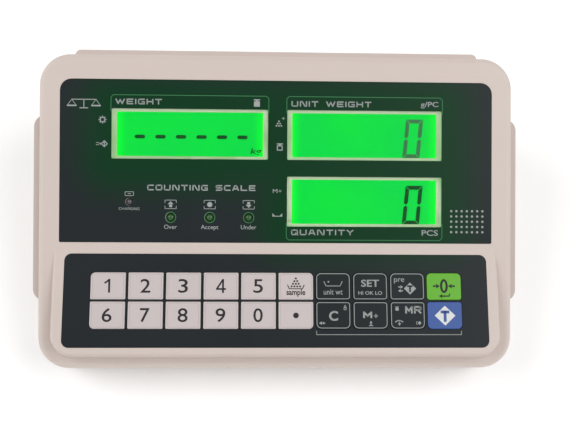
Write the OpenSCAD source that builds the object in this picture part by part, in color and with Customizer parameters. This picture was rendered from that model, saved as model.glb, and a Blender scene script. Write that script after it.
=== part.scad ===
// Desk indicator of a counting scale: sloping display face, wedge-shaped keypad, rear housing with its electronics.
// Row frame: X across, Y from the user towards the back wall, Z up, Z = 0 at the underside of the feet.
// Face frame: X across, Y up the sloping face from the top edge of the display panel, Z out of the face.
// Keypad frame: the face frame turned about the fold above the keypad, Y up the keypad, Z out of it.

/* [Face] */
// Slope of the display face above level, degrees
face_tilt = 20; // [12:1:28]
// Width of the black display panel
panel_w = 225; // [200:0.5:280]
// Length of the black display panel up the face
panel_h = 84.5; // [80:0.5:110]
// Radius of the display panel's top corners
panel_r = 6; // [2:0.5:10]
// Radius of the display panel's bottom corners
panel_low_r = 0.8; // [0.3:0.1:3]
// Shell beside the display panel, each side
side_border = 10.7; // [6:0.1:20]
// Shell above the display panel
top_border = 13; // [8:0.5:20]
// Shell below the keypad panel
bottom_border = 11.87; // [10:0.01:20]
// Distance between the display panel and the keypad panel
panel_gap = 5.74; // [4:0.01:10]
// Distance from the display panel to the fold line
fold_gap = 2.9; // [1.5:0.1:4]
// Thickness of the printed panels
panel_t = 1; // [0.5:0.1:1.5]
// Depth of the panels' recesses
recess = 1.2; // [0.8:0.1:1.8]

/* [Housing] */
// Thickness of the housing walls
wall = 2.5; // [2:0.1:3.5]
// Thickness of the face plate
face_t = 3; // [2.5:0.1:4]
// Depth of the front shell behind the face
front_depth = 7; // [6:0.5:10]
// Radius of the shell's corners
shell_r = 16; // [12:0.5:20]
// Radius of the shell's front edge
rim_r = 2.75; // [1:0.25:4]
// Height of the rear shell's front wall
front_wall_h = 21.6; // [20:0.1:40]
// How far the rear shell sits inside the front shell's outline
rear_inset = 0.4; // [0.2:0.1:1]
// How far the front wall stands farther back, below the front shell
toe_in = 3.4; // [0:0.1:3.6]
// Radius of the rear shell's bottom edge
base_edge_r = 3; // [1:0.5:5]
// How far the side pods stand out of the front shell's outline
pod_proud = 3.9; // [3:0.1:8]
// Length of the side pods up the face
pod_h = 96.7; // [60:0.1:120]
// Distance from the display panel's top edge to the middle of the pods
pod_mid = 66.65; // [50:0.05:80]
// Depth of the side pods
pod_depth = 24; // [20:1:30]
// Width of the belt behind the front shell
belt_w = 212; // [150:1:215]
// How far the belt stands out at the back
belt_back = 3.2; // [2:0.1:5]
// Depth of the belt behind the parting line
belt_drop = 12; // [6:1:16]

/* [Keypad] */
// Angle between the keypad and the display face, degrees
pad_tilt = 10.5; // [6:0.5:14]
// Width of the keypad panel
pad_w = 218.9; // [210:0.1:270]
// Length of the keypad panel
pad_h = 48.3; // [46:0.1:60]
// Radius of the keypad panel's corners
pad_r = 3.75; // [1:0.25:6]
// Wedge beside the keypad panel, each side
wedge_side = 5.85; // [4:0.05:7]
// Wedge below the keypad panel
wedge_foot = 3.2; // [3:0.1:6]
// Radius of the wedge's lower corners
wedge_r = 10; // [6:0.5:12]
// Radius of the wedge's upper edge
wedge_edge_r = 1.5; // [0.5:0.1:2]
// Outward lean of the wedge's walls, millimetres in each millimetre
wedge_draft = 0.15; // [0:0.01:0.2]
// Width of a key
key_w = 17.8; // [14:0.1:18]
// Height of a key
key_h = 13.8; // [11:0.1:14]
// Distance between key columns
key_pitch_x = 19.25; // [19.25:0.05:20.5]
// Distance between key rows
key_pitch_y = 15; // [15:0.05:16.5]
// Distance from the keypad panel's top edge to the first key row
key_top = 9.83; // [8:0.01:12]
// Height of the key tops above the keypad panel
key_proud = 0.6; // [0.4:0.1:1.2]
// Travel of a key
key_travel = 0.5; // [0.3:0.1:0.6]
// Clearance between a key and its hole
key_gap = 0.25; // [0.2:0.05:0.3]
// Width of the flange that holds a key behind the panel
key_flange = 0.45; // [0.3:0.05:0.45]
// Thickness of the flange
flange_t = 1; // [0.8:0.1:1.5]
// Corner radius of the keys at the corners of a block
key_corner_r = 2.3; // [1:0.1:3]
// Corner radius of the other white key corners
key_square_r = 0.5; // [0.3:0.1:1]
// Corner radius of the dark keys
dark_key_r = 1.3; // [0.5:0.1:2]

/* [Displays] */
// Width of a display window
win_w = 81; // [70:0.5:86]
// Height of a display window
win_h = 26; // [22:0.5:28]
// Distance of the window middles from the centre line
win_x = 45.5; // [45:0.1:60]
// Distance from the panel's top edge to the upper windows
win_top = 15.15; // [12:0.05:20]
// Distance between the window rows
win_pitch = 34.7; // [32:0.1:40]
// Radius of the window corners
win_r = 0.6; // [0.3:0.1:2]
// Ledge of the shell seen inside a window, at its sides
ledge_x = 2.6; // [1:0.1:4]
// Ledge of the shell seen inside a window, above and below
ledge_y = 1.45; // [1:0.05:3]
// Extra glass beyond the opening, each side
lcd_margin = 2; // [1:0.5:3]
// Thickness of a display glass
lcd_t = 2.8; // [2:0.1:3.2]
// Thickness of a backlight
backlight_t = 4; // [3:0.5:6]
// Diameter of a status lamp
lamp_d = 4.9; // [3:0.1:5]
// Diameter of the charging lamp
charge_lamp_d = 3.8; // [3:0.1:5]
// Distance between status lamps
lamp_pitch = 20.2; // [12:0.1:21]
// Place of the middle status lamp
lamp_x = -35.1; // [-40:0.1:-30]
// Distance from the panel's top edge to the status lamps
lamp_down = 71.4; // [68:0.1:74]
// Place of the charging lamp
charge_x = -76.6; // [-80:0.1:-70]
// Distance from the panel's top edge to the charging lamp
charge_down = 63.5; // [60:0.1:66]

/* [Inside] */
// Thickness of the circuit boards
board_t = 1.6; // [1:0.2:2]
// Width of the battery
battery_w = 97; // [80:1:100]
// Depth of the battery
battery_d = 66; // [50:1:68]
// Height of the battery
battery_h = 33; // [20:1:34]
// Width of the battery strap
strap_w = 16; // [10:1:24]
// Thickness of the battery strap
strap_t = 1; // [0.8:0.1:1.5]
// Width of the main board
main_w = 92; // [70:1:96]
// Depth of the main board
main_d = 70; // [50:1:74]
// Height of the posts below the main board
main_post_h = 8; // [5:0.5:10]

/* [Back wall] */
// Height of the connectors above the base
socket_up = 22; // [18:1:24]
// Depth of the pocket around the connectors
pocket_depth = 1; // [0.5:0.1:1.2]
// Width of the pocket
pocket_w = 146; // [140:1:170]
// Height of the pocket
pocket_h = 28; // [26:1:32]
// Radius of the load cell socket's thread
cell_r = 7.8; // [6:0.1:9]
// Length of the load cell socket outside its flange
cell_len = 8; // [5:0.5:12]
// Largest angle of the rocker from its middle, degrees
rocker_angle = 10; // [6:1:12]

/* [Fasteners and feet] */
// Height of the feet below the base
foot_h = 3; // [2:0.5:5]
// Radius of the feet
foot_r = 8; // [6:0.5:10]
// Thread bore radius of the brass bracket inserts
insert_bore_r = 2.5; // [2:0.05:3]
// Outer radius of the bracket inserts
insert_r = 4.2; // [3.8:0.1:5]
// Length of the bracket inserts
insert_len = 12; // [8:0.5:12]
// Shank radius of the case screws
screw_r = 1.7; // [1.4:0.1:2]
// Length of the case screws
screw_len = 14; // [12:0.5:15]
// Shank radius of the board screws
small_screw_r = 1.2; // [1:0.1:1.4]

/* [Hidden] */
$fn = 64;
ARC_STEPS = 6;
FIT = 0.05;
PAST = 1;
FAR = 300;

KEY_NAMES = [
    ["key_1", "key_2", "key_3", "key_4", "key_5", "key_sample",
     "key_unit_weight", "key_set", "key_preset_tare", "key_zero"],
    ["key_6", "key_7", "key_8", "key_9", "key_0", "key_point",
     "key_clear", "key_memory_add", "key_memory_recall", "key_tare"]];
COLUMNS = len(KEY_NAMES[0]);
WHITE_COLUMNS = 6;

// Colours
SHELL = [0.86, 0.82, 0.78];
BLACK = [0.10, 0.11, 0.12];
KEY_WHITE = [0.84, 0.82, 0.80];
BOARD = [0.05, 0.35, 0.18];
METAL = [0.75, 0.76, 0.78];

// Derived sizes of the face
shell_w = panel_w + 2 * side_border;
shell_h = top_border + panel_h + panel_gap + pad_h * cos(pad_tilt) + bottom_border;
shell_mid_y = top_border - shell_h / 2;
shell_low_y = top_border - shell_h;
face_z0 = foot_h + front_wall_h - shell_low_y * sin(face_tilt) + front_depth * cos(face_tilt);
fold_down = panel_h + fold_gap;
pad_start = (panel_gap - fold_gap) / cos(pad_tilt);
pad_mid = pad_start + pad_h / 2;
wedge_w = pad_w + 2 * wedge_side;
wedge_len = pad_start + pad_h + wedge_foot;
wedge_depth = wedge_len * tan(pad_tilt) + face_t + 1;
wedge_back = 15;
wall_depth = 30;

// Rear shell, before the model is centred: back and front planes at the parting line
function raw_y(y, z) = y * cos(face_tilt) - z * sin(face_tilt);
rear_back_raw = raw_y(top_border - rear_inset, -front_depth);
rear_front_raw = raw_y(shell_low_y + rear_inset, -front_depth) + toe_in;
flange_out = 2;
front_most_raw = raw_y(shell_low_y + rim_r, -rim_r) - rim_r;
back_most_raw = rear_back_raw - pocket_depth + flange_out + cell_len;
belt_most_raw = raw_y(top_border + belt_back, -front_depth);
face_y0 = -(front_most_raw + max(back_most_raw, belt_most_raw)) / 2;
rear_back = face_y0 + rear_back_raw;
rear_front = face_y0 + rear_front_raw;
rear_w = shell_w - 2 * rear_inset;
rear_d = rear_back - rear_front;
rear_mid = (rear_back + rear_front) / 2;
rear_h = 110;
floor_z = foot_h + wall;

// Height of the parting plane above a place on the base
function parting_z(y) = face_z0 + (y - face_y0) * tan(face_tilt) - front_depth / cos(face_tilt);

// Keypad
key_block_w = (COLUMNS - 1) * key_pitch_x + key_w;
key_block_h = key_pitch_y + key_h;
key_mid = pad_start + key_top + key_block_h / 2;
panel_top_z = panel_t - recess;
panel_low_z = -recess;
key_rest_gap = 0.05;
stem_r = 2;
stem_low = -5;
switch_gap = 0.6;
switch_h = 4.3;
switch_w = 6;
plunger_r = 1.7;
plunger_h = 0.8;
pad_board_top = stem_low - switch_gap - switch_h;
pad_board_w = key_block_w + 16;
pad_board_h = key_block_h + 10;
pad_post_x = key_block_w / 2 + 5;
pad_post_y = key_block_h / 2 + 2.2;

// Displays
WINDOWS = [[-win_x, win_top + win_h / 2], [win_x, win_top + win_h / 2], [win_x, win_top + win_pitch + win_h / 2]];
open_w = win_w - 2 * ledge_x;
open_h = win_h - 2 * ledge_y;
lcd_w = open_w + 2 * lcd_margin;
lcd_h = open_h + 2 * lcd_margin;
layer_gap = 0.1;
lcd_top = -face_t - layer_gap;
backlight_top = lcd_top - lcd_t - layer_gap;
board_top = backlight_top - backlight_t - layer_gap;
disp_board_w = 200;
disp_board_h = 76;
disp_post_x = disp_board_w / 2 - 5;
disp_post_y = disp_board_h / 2 - 4.5;
post_r = 3;
LAMPS = [for (i = [-1 : 1]) [lamp_x + i * lamp_pitch, lamp_down]];
lamp_lens_low = 0.4;
lamp_gap = 0.4;

// Fasteners and feet
case_x = rear_w / 2 - shell_r + 1;
case_in = shell_r - 6;
CASE_Y = [rear_front + case_in, rear_back - case_in];
boss_r = 4.5;
boss_drop = 6;
boss_floor = 5;
head_r = 3.3;
head_h = 2.2;
small_head_r = 2.2;
small_head_h = 1.3;
small_screw_len = 6;
foot_x = rear_w / 2 - 28;
foot_in = 24;
foot_sink = 1;
pod_face_x = shell_w / 2 + pod_proud;
insert_y = face_y0 + raw_y(-pod_mid, -front_depth - pod_depth / 2);
insert_z = face_z0 - pod_mid * sin(face_tilt) - (front_depth + pod_depth / 2) * cos(face_tilt);
insert_boss_r = insert_r + 2.6;

// Inside
battery_x = 57;
battery_back = rear_back - wall - 22;
strap_boss_r = 4;
strap_boss_h = 4;
strap_tab = 9;
main_x = -rear_w / 2 + 15 + main_w / 2;
board_in = 14.6;
main_y = rear_front + board_in + main_d / 2;
main_top = floor_z + main_post_h + board_t;
main_hole_in = 5;

// Back wall
socket_z = foot_h + socket_up;
socket_y = rear_back - pocket_depth;
pocket_x = -14;
cell_x = -68;
serial_x = -30;
inlet_x = 4;
rocker_x = 36;
rocker_w = 11;
rocker_tall = 17.2;
rocker_r = rocker_tall / 2;
rocker_rise = 3.2;
rocker_body_w = 13.6;
rocker_body_h = 20;
rocker_body_d = 16;
rocker_pivot_in = 2;
trunnion_r = 1.2;
serial_w = 19;
serial_h = 10.6;
serial_shell_w = 16.9;
serial_shell_h = 8.3;
serial_post_x = 12.5;
inlet_thread_r = 4;
inlet_bore_r = 2.75;
cell_inside = 9;

// Cables and buzzer
ribbon_t = 0.8;
ribbon_w = 18;
plug_h = 6;
plug_tall = 5;
plug_low = board_top - board_t - plug_tall;
plug_y = main_y + 18;
display_plug_x = main_x + 16;
display_plug_down = 62;
keypad_plug_x = main_x - 20;
lead_r = 1.2;
tab_spread = 20;
tab_t = 0.8;
buzzer_x = 56;
buzzer_in = 32.6;
buzzer_y = rear_front + buzzer_in;
buzzer_r = 11;

// An arc's points
function arc(cx, cy, r, a0, a1) =
    [for (i = [0 : ARC_STEPS]) let (a = a0 + (a1 - a0) * i / ARC_STEPS) [cx + r * cos(a), cy + r * sin(a)]];

// A rectangle's outline with its own radius at each corner: top right, top left, bottom left, bottom right
function rounded(w, h, r) = concat(
    arc(w / 2 - r[0], h / 2 - r[0], r[0], 0, 90),
    arc(-w / 2 + r[1], h / 2 - r[1], r[1], 90, 180),
    arc(-w / 2 + r[2], -h / 2 + r[2], r[2], 180, 270),
    arc(w / 2 - r[3], -h / 2 + r[3], r[3], 270, 360));

function same(r) = [r, r, r, r];

module plate(w, h, t, r) linear_extrude(t) polygon(rounded(w, h, r));

// A block centred across, standing on its lower face
module block(size) translate([-size[0] / 2, -size[1] / 2, 0]) cube(size);

// A slab below Z = 0 with round corners, a round upper edge and walls that lean outwards
module soft_slab(w, h, depth, corner_r, edge_r, draft = 0) {
    low_r = corner_r + draft * (depth - edge_r);
    profile = concat([[0, -depth], [low_r, -depth]], arc(corner_r - edge_r, -edge_r, edge_r, 0, 90), [[0, 0]]);
    for (k = [0 : 3]) rotate([0, 0, 90 * k]) {
        a = (k % 2 == 0 ? w : h) / 2 - corner_r;
        b = (k % 2 == 0 ? h : w) / 2 - corner_r;
        translate([a, b, 0]) rotate_extrude(angle = 90) polygon(profile);
        translate([-a, b, 0]) rotate([90, 0, 90]) linear_extrude(2 * a) polygon(profile);
    }
    translate([0, 0, -depth]) block([w - 2 * corner_r, h - 2 * corner_r, depth]);
}

module on_face() translate([0, face_y0, face_z0]) rotate([face_tilt, 0, 0]) children();

module on_keypad() on_face() translate([0, -fold_down, 0]) rotate([-pad_tilt, 0, 0]) children();

module on_panel(x, down) translate([x, -down, 0]) children();

// Everything in front of a plane that lies a given depth behind the face or the keypad
module in_front(depth) translate([-FAR, -FAR, -depth]) cube([2 * FAR, 2 * FAR, FAR]);

module at_case_pair(y) for (sx = [-1, 1]) translate([sx * case_x, y, parting_z(y) - boss_drop]) children();

module at_case_corners() for (y = CASE_Y) at_case_pair(y) children();

module at_feet() for (sx = [-1, 1], y = [rear_front + foot_in, rear_back - foot_in])
    translate([sx * foot_x, y, 0]) children();

module at_display_posts() for (sx = [-1, 1], sy = [-1, 1])
    translate([sx * disp_post_x, -panel_h / 2 + sy * disp_post_y, board_top]) children();

module at_keypad_posts() for (x = [-pad_post_x, pad_post_x], sy = [-1, 1])
    translate([x, -key_mid + sy * (pad_post_y - 6), pad_board_top]) children();

module at_main_posts() for (sx = [-1, 1], sy = [-1, 1])
    translate([main_x + sx * (main_w / 2 - main_hole_in), main_y + sy * (main_d / 2 - main_hole_in), 0]) children();

module at_strap_bosses() for (y = [battery_back + strap_tab / 2, battery_back - battery_d - strap_tab / 2])
    translate([battery_x, y, floor_z]) children();

module at_inserts() for (sx = [-1, 1]) translate([sx * pod_face_x, insert_y, insert_z])
    rotate([0, -90 * sx, 0]) children();

// A direction out of the back wall, with its X across and its Y up
module on_back(x, up = 0) translate([x, socket_y, socket_z + up]) rotate([90, 0, 180]) children();

module front_shell() color(SHELL) difference() {
    union() {
        difference() {
            union() {
                on_face() translate([0, shell_mid_y, 0])
                    soft_slab(shell_w, shell_h, front_depth, shell_r, rim_r);
                on_keypad() translate([0, (wedge_back - wedge_len) / 2, 0])
                    soft_slab(wedge_w, wedge_len + wedge_back, wedge_depth, wedge_r, wedge_edge_r, wedge_draft);
            }
            on_face() translate([0, shell_mid_y + toe_in / 2, -wall_depth])
                plate(shell_w - 2 * wall, shell_h - 2 * wall - toe_in, wall_depth - face_t, same(shell_r - wall));
            on_keypad() translate([0, -(wedge_len - wall + face_t) / 2, -wall_depth])
                plate(wedge_w - 2 * wall, wedge_len - wall - face_t, wall_depth - face_t, same(wedge_r - wall));
            on_face() on_panel(0, panel_h / 2) translate([0, 0, -recess])
                plate(panel_w, panel_h, recess + PAST, [panel_r, panel_r, panel_low_r, panel_low_r]);
            on_keypad() on_panel(0, pad_mid) translate([0, 0, -recess])
                plate(pad_w, pad_h, recess + PAST, same(pad_r));
            on_face() for (p = WINDOWS) on_panel(p[0], p[1]) translate([0, 0, -face_t - PAST])
                plate(open_w, open_h, face_t + PAST, same(win_r));
            on_face() for (p = LAMPS) on_panel(p[0], p[1]) translate([0, 0, -face_t - PAST])
                cylinder(r = lamp_d / 2 + FIT, h = face_t + PAST);
            on_face() on_panel(charge_x, charge_down) translate([0, 0, -face_t - PAST])
                cylinder(r = charge_lamp_d / 2 + FIT, h = face_t + PAST);
            on_keypad() on_panel(0, key_mid) translate([0, 0, -face_t - PAST])
                plate(key_block_w + 2, key_block_h + 2, face_t + PAST, same(key_corner_r));
        }
        on_face() at_display_posts() cylinder(r = post_r, h = -board_top - face_t + PAST);
        on_keypad() at_keypad_posts() cylinder(r = post_r, h = -pad_board_top - face_t + PAST);
        difference() {
            at_case_pair(CASE_Y[0]) cylinder(r = boss_r - 0.5, h = wall_depth);
            on_keypad() in_front(face_t - PAST);
        }
        difference() {
            at_case_pair(CASE_Y[1]) cylinder(r = boss_r - 0.5, h = wall_depth);
            on_face() in_front(face_t - PAST);
        }
    }
    on_face() at_display_posts() translate([0, 0, -PAST])
        cylinder(r = small_screw_r, h = small_screw_len + PAST);
    on_keypad() at_keypad_posts() translate([0, 0, -PAST])
        cylinder(r = small_screw_r, h = small_screw_len + PAST);
    at_case_corners() translate([0, 0, -PAST]) cylinder(r = screw_r, h = screw_len - boss_floor + PAST + FIT);
}

module rear_shell() color(SHELL) difference() {
    union() {
        difference() {
            union() {
                difference() {
                    translate([0, rear_mid, foot_h]) mirror([0, 0, 1])
                        soft_slab(rear_w, rear_d, rear_h, shell_r, base_edge_r);
                    on_face() in_front(front_depth);
                }
                on_face() translate([0, -pod_mid, -front_depth - pod_depth]) mirror([0, 0, 1])
                    soft_slab(2 * pod_face_x, pod_h, pod_depth, 2 * base_edge_r, base_edge_r);
                rear_belt();
            }
            translate([0, rear_mid, floor_z])
                plate(rear_w - 2 * wall, rear_d - 2 * wall, rear_h, same(shell_r - wall));
        }
        for (sx = [-1, 1], y = CASE_Y) translate([sx * case_x, y, foot_h + PAST])
            cylinder(r = boss_r, h = parting_z(y) - boss_drop - foot_h - PAST);
        at_inserts() translate([0, 0, PAST]) cylinder(r = insert_boss_r, h = insert_len + wall - PAST);
        at_strap_bosses() cylinder(r = strap_boss_r, h = strap_boss_h);
        at_main_posts() translate([0, 0, floor_z - PAST]) cylinder(r = post_r, h = main_post_h + PAST);
    }
    for (sx = [-1, 1], y = CASE_Y) {
        translate([sx * case_x, y, 0]) cylinder(r = head_r + 0.5, h = parting_z(y) - boss_drop - boss_floor);
        translate([sx * case_x, y, 0]) cylinder(r = screw_r + 0.3, h = parting_z(y));
    }
    at_inserts() translate([0, 0, -PAST]) cylinder(r = insert_r, h = insert_len + PAST);
    at_feet() cylinder(r = foot_r + FIT, h = foot_h + foot_sink);
    at_strap_bosses() translate([0, 0, strap_boss_h + strap_t - small_screw_len])
        cylinder(r = small_screw_r, h = small_screw_len);
    at_main_posts() translate([0, 0, floor_z + main_post_h + board_t - small_screw_len])
        cylinder(r = small_screw_r, h = small_screw_len);
    translate([pocket_x, socket_y, socket_z]) rotate([-90, 0, 0])
        plate(pocket_w, pocket_h, 2 * wall, same(base_edge_r));
    on_back(cell_x) translate([0, 0, -2 * wall]) cylinder(r = cell_r + FIT, h = 3 * wall);
    on_back(serial_x) translate([0, 0, -2 * wall]) plate(serial_w + 0.2, serial_h + 0.2, 3 * wall, same(1));
    on_back(serial_x) for (sx = [-1, 1]) translate([sx * serial_post_x, 0, -2 * wall])
        cylinder(r = small_screw_r + 0.3, h = 3 * wall);
    on_back(inlet_x) translate([0, 0, -2 * wall]) cylinder(r = inlet_thread_r + FIT, h = 3 * wall);
    on_back(rocker_x) translate([0, 0, -2 * wall])
        plate(rocker_body_w + 0.2, rocker_body_h + 0.2, 3 * wall, same(0.5));
    for (x = [-2 : 2], y = [-2 : 2]) translate([buzzer_x + 3.2 * x, buzzer_y + 3.2 * y, 0])
        cylinder(r = 0.9, h = floor_z + PAST);
}

// Belt of the rear shell behind the front shell's upper and lower edges
module rear_belt() intersection() {
    high = face_y0 + belt_most_raw;
    translate([0, (rear_mid + high) / 2, 0]) plate(belt_w, high - rear_mid, rear_h, same(base_edge_r));
    on_face() translate([-FAR, -FAR, -front_depth - belt_drop]) cube([2 * FAR, 2 * FAR, belt_drop]);
}

module display_overlay() color(BLACK) on_face() difference() {
    on_panel(0, panel_h / 2) translate([0, 0, -recess]) plate(panel_w - 2 * FIT, panel_h - 2 * FIT, panel_t,
        [panel_r, panel_r, panel_low_r, panel_low_r]);
    for (p = WINDOWS) on_panel(p[0], p[1]) translate([0, 0, -recess - PAST])
        plate(win_w, win_h, recess + PAST, same(win_r));
    for (p = LAMPS) on_panel(p[0], p[1]) translate([0, 0, -recess - PAST])
        cylinder(r = lamp_d / 2 + lamp_gap, h = recess + PAST);
    on_panel(charge_x, charge_down) translate([0, 0, -recess - PAST])
        cylinder(r = charge_lamp_d / 2 + lamp_gap, h = recess + PAST);
}

module display_windows() color([0.7, 0.9, 0.8, 0.4]) on_face() for (p = WINDOWS) on_panel(p[0], p[1])
    translate([0, 0, -recess]) plate(win_w - 2 * FIT, win_h - 2 * FIT, panel_t, same(win_r));

// Middle of a key on the keypad
function key_place(row, column) = [
    (column - (COLUMNS - 1) / 2) * key_pitch_x,
    -key_mid + (0.5 - row) * key_pitch_y];

// Corner radii of a key: top right, top left, bottom left, bottom right
function key_radii(row, column) =
    column >= WHITE_COLUMNS ? [for (k = [0 : 3]) (row == 0) == (k < 2) ? key_corner_r : dark_key_r]
    : column == 0 ? [for (k = [0 : 3]) k == 1 + row ? key_corner_r : key_square_r]
    : column == WHITE_COLUMNS - 1 ? [for (k = [0 : 3]) k == 3 * row ? key_corner_r : key_square_r]
    : same(key_square_r);

module keypad_overlay() color(BLACK) on_keypad() difference() {
    on_panel(0, pad_mid) translate([0, 0, -recess])
        plate(pad_w - 2 * FIT, pad_h - 2 * FIT, panel_t, same(pad_r));
    for (row = [0, 1], column = [0 : COLUMNS - 1]) translate(concat(key_place(row, column), -recess - PAST))
        plate(key_w + 2 * key_gap, key_h + 2 * key_gap, recess + PAST,
            [for (r = key_radii(row, column)) r + key_gap]);
}

// A key: cap in its hole, flange behind the panel and stem above its switch
module key(row, column) {
    flange_top = panel_low_z - key_rest_gap;
    radii = key_radii(row, column);
    tint = column < WHITE_COLUMNS ? KEY_WHITE : column < COLUMNS - 1 ? BLACK
        : row == 0 ? [0.40, 0.72, 0.18] : [0.22, 0.34, 0.66];
    color(tint) on_keypad() translate(key_place(row, column)) {
        translate([0, 0, flange_top - flange_t]) {
            plate(key_w, key_h, panel_top_z + key_proud - flange_top + flange_t, radii);
            plate(key_w + 2 * key_flange, key_h + 2 * key_flange, flange_t, [for (r = radii) r + key_flange]);
        }
        translate([0, 0, stem_low]) cylinder(r = stem_r, h = flange_top - stem_low);
    }
}

module lcd(index) color([0.1, 0.9, 0.3]) on_face() on_panel(WINDOWS[index][0], WINDOWS[index][1])
    translate([0, 0, lcd_top - lcd_t]) block([lcd_w, lcd_h, lcd_t]);

module backlights() color([0.9, 0.95, 0.9]) on_face() for (p = WINDOWS) on_panel(p[0], p[1])
    translate([0, 0, backlight_top - backlight_t]) plate(lcd_w + 1, lcd_h + 1, backlight_t, same(1));

// A domed lamp that stands on the display board
module lamp(d) {
    translate([0, 0, board_top + FIT]) cylinder(r = d / 2 + 0.3, h = 1);
    translate([0, 0, board_top + FIT]) cylinder(r = d / 2, h = -board_top - FIT - d / 2 - lamp_lens_low);
    translate([0, 0, -d / 2 - lamp_lens_low]) sphere(r = d / 2);
}

module status_lamps() color([0.1, 0.45, 0.2]) on_face() for (p = LAMPS) on_panel(p[0], p[1]) lamp(lamp_d);

module charging_lamp() color([0.35, 0.1, 0.1]) on_face() on_panel(charge_x, charge_down) lamp(charge_lamp_d);

module display_board() color(BOARD) on_face() difference() {
    on_panel(0, panel_h / 2) translate([0, 0, board_top - board_t])
        plate(disp_board_w, disp_board_h, board_t, same(2));
    at_display_posts() translate([0, 0, -board_t - PAST])
        cylinder(r = small_screw_r + 0.2, h = board_t + 2 * PAST);
}

module keypad_board() color(BOARD) on_keypad() difference() {
    on_panel(0, key_mid) translate([0, 0, pad_board_top - board_t])
        plate(pad_board_w, pad_board_h, board_t, same(2));
    at_keypad_posts() translate([0, 0, -board_t - PAST])
        cylinder(r = small_screw_r + 0.2, h = board_t + 2 * PAST);
}

module key_switches() color([0.15, 0.15, 0.16]) on_keypad() for (row = [0, 1], column = [0 : COLUMNS - 1])
    translate(concat(key_place(row, column), pad_board_top)) {
        block([switch_w, switch_w, switch_h - plunger_h]);
        cylinder(r = plunger_r, h = switch_h);
    }

// A flat cable seen from the side: a centre line of [y, z] points with its thickness along Y
module flat_cable(x, width, points) translate([x - width / 2, 0, 0]) rotate([90, 0, 90]) linear_extrude(width)
    polygon(concat(points, [for (i = [len(points) - 1 : -1 : 0]) points[i] + [ribbon_t, 0]]));

module display_ribbon() color([0.6, 0.6, 0.62]) {
    top_y = face_y0 + raw_y(-display_plug_down, plug_low);
    top_z = face_z0 - display_plug_down * sin(face_tilt) + plug_low * cos(face_tilt) - 1;
    flat_cable(display_plug_x, ribbon_w, [[top_y, top_z], [top_y + 1, top_z - 8], [plug_y, main_top + plug_h + 10],
        [plug_y, main_top + plug_h]]);
}

module keypad_ribbon() color([0.6, 0.6, 0.62]) {
    down = key_mid * cos(pad_tilt) - plug_low * sin(pad_tilt);
    low = key_mid * sin(pad_tilt) + (pad_board_top - board_t) * cos(pad_tilt);
    top_y = face_y0 + raw_y(-fold_down - down, low);
    top_z = face_z0 - (fold_down + down) * sin(face_tilt) + low * cos(face_tilt) - 1.5;
    flat_cable(keypad_plug_x, ribbon_w, [[top_y, top_z], [top_y + 1, top_z - 5], [plug_y, main_top + plug_h + 5],
        [plug_y, main_top + plug_h]]);
}

module main_board() color(BOARD) difference() {
    translate([main_x, main_y, main_top - board_t]) plate(main_w, main_d, board_t, same(2));
    at_main_posts() cylinder(r = small_screw_r + 0.2, h = main_top + PAST);
}

// Parts soldered to the main board, and the plug below the display board
module board_parts() color([0.12, 0.12, 0.13]) {
    translate([main_x, main_y, main_top]) {
        translate([-8, -14, 0]) block([14, 14, 1.6]);
        translate([14, -16, 0]) block([10, 7, 1.8]);
        translate([30, 6, 0]) block([12, 20, 9]);
        for (k = [0 : 2]) translate([-30 + 11 * k, 26, 0]) cylinder(r = 3.2, h = 9);
        for (k = [0 : 3]) translate([-36 + 6 * k, -28, 0]) block([3.2, 1.6, 0.8]);
        translate([26, -28, 0]) block([16, 6, 7]);
    }
    for (x = [display_plug_x, keypad_plug_x]) translate([x, plug_y, main_top])
        block([ribbon_w + 4, 5, plug_h]);
    on_face() on_panel(display_plug_x, display_plug_down) translate([0, 0, plug_low])
        block([ribbon_w + 4, 5, plug_tall]);
}

module buzzer() color([0.1, 0.1, 0.1]) translate([buzzer_x, buzzer_y, floor_z]) difference() {
    cylinder(r = buzzer_r, h = 7);
    translate([0, 0, -PAST]) cylinder(r = buzzer_r - 1.5, h = 4);
}

module battery() color([0.16, 0.17, 0.2]) {
    translate([battery_x, battery_back - battery_d / 2, floor_z]) {
        plate(battery_w - 2 * FIT, battery_d - 2 * FIT, battery_h - 2, same(2));
        translate([0, 0, battery_h - 2]) plate(battery_w - 4, battery_d - 4, 2, same(1));
    }
    for (sy = [-1, 1])
        translate([battery_x - battery_w / 2 - 3, battery_back - battery_d / 2 + sy * tab_spread, floor_z + 12])
            block([7, tab_t, 6.3]);
}

module battery_strap() color(METAL) translate([battery_x, battery_back - battery_d / 2, 0]) difference() {
    reach = battery_d / 2;
    union() {
        translate([0, 0, floor_z + battery_h]) block([strap_w, battery_d + 2 * strap_t, strap_t]);
        for (sy = [-1, 1]) {
            translate([0, sy * (reach + strap_t / 2), floor_z + strap_boss_h])
                block([strap_w, strap_t, battery_h - strap_boss_h + strap_t]);
            translate([0, sy * (reach + strap_tab / 2), floor_z + strap_boss_h])
                block([strap_w, strap_tab, strap_t]);
        }
    }
    for (sy = [-1, 1]) translate([0, sy * (reach + strap_tab / 2), floor_z])
        cylinder(r = small_screw_r + 0.2, h = strap_boss_h + 2 * strap_t);
}

// Two leads from the battery's tabs to the main board
module battery_leads() color([0.7, 0.08, 0.08]) for (sy = [-1, 1]) {
    y = battery_back - battery_d / 2 + sy * tab_spread - tab_t / 2 - lead_r;
    x0 = battery_x - battery_w / 2 - 4;
    x1 = main_x + main_w / 2 - 4;
    z0 = floor_z + 15;
    translate([x1, y, z0]) rotate([0, 90, 0]) cylinder(r = lead_r, h = x0 - x1);
    translate([x1, y, main_top]) cylinder(r = lead_r, h = z0 - main_top);
    translate([x1, y, z0]) sphere(r = lead_r);
}

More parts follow.
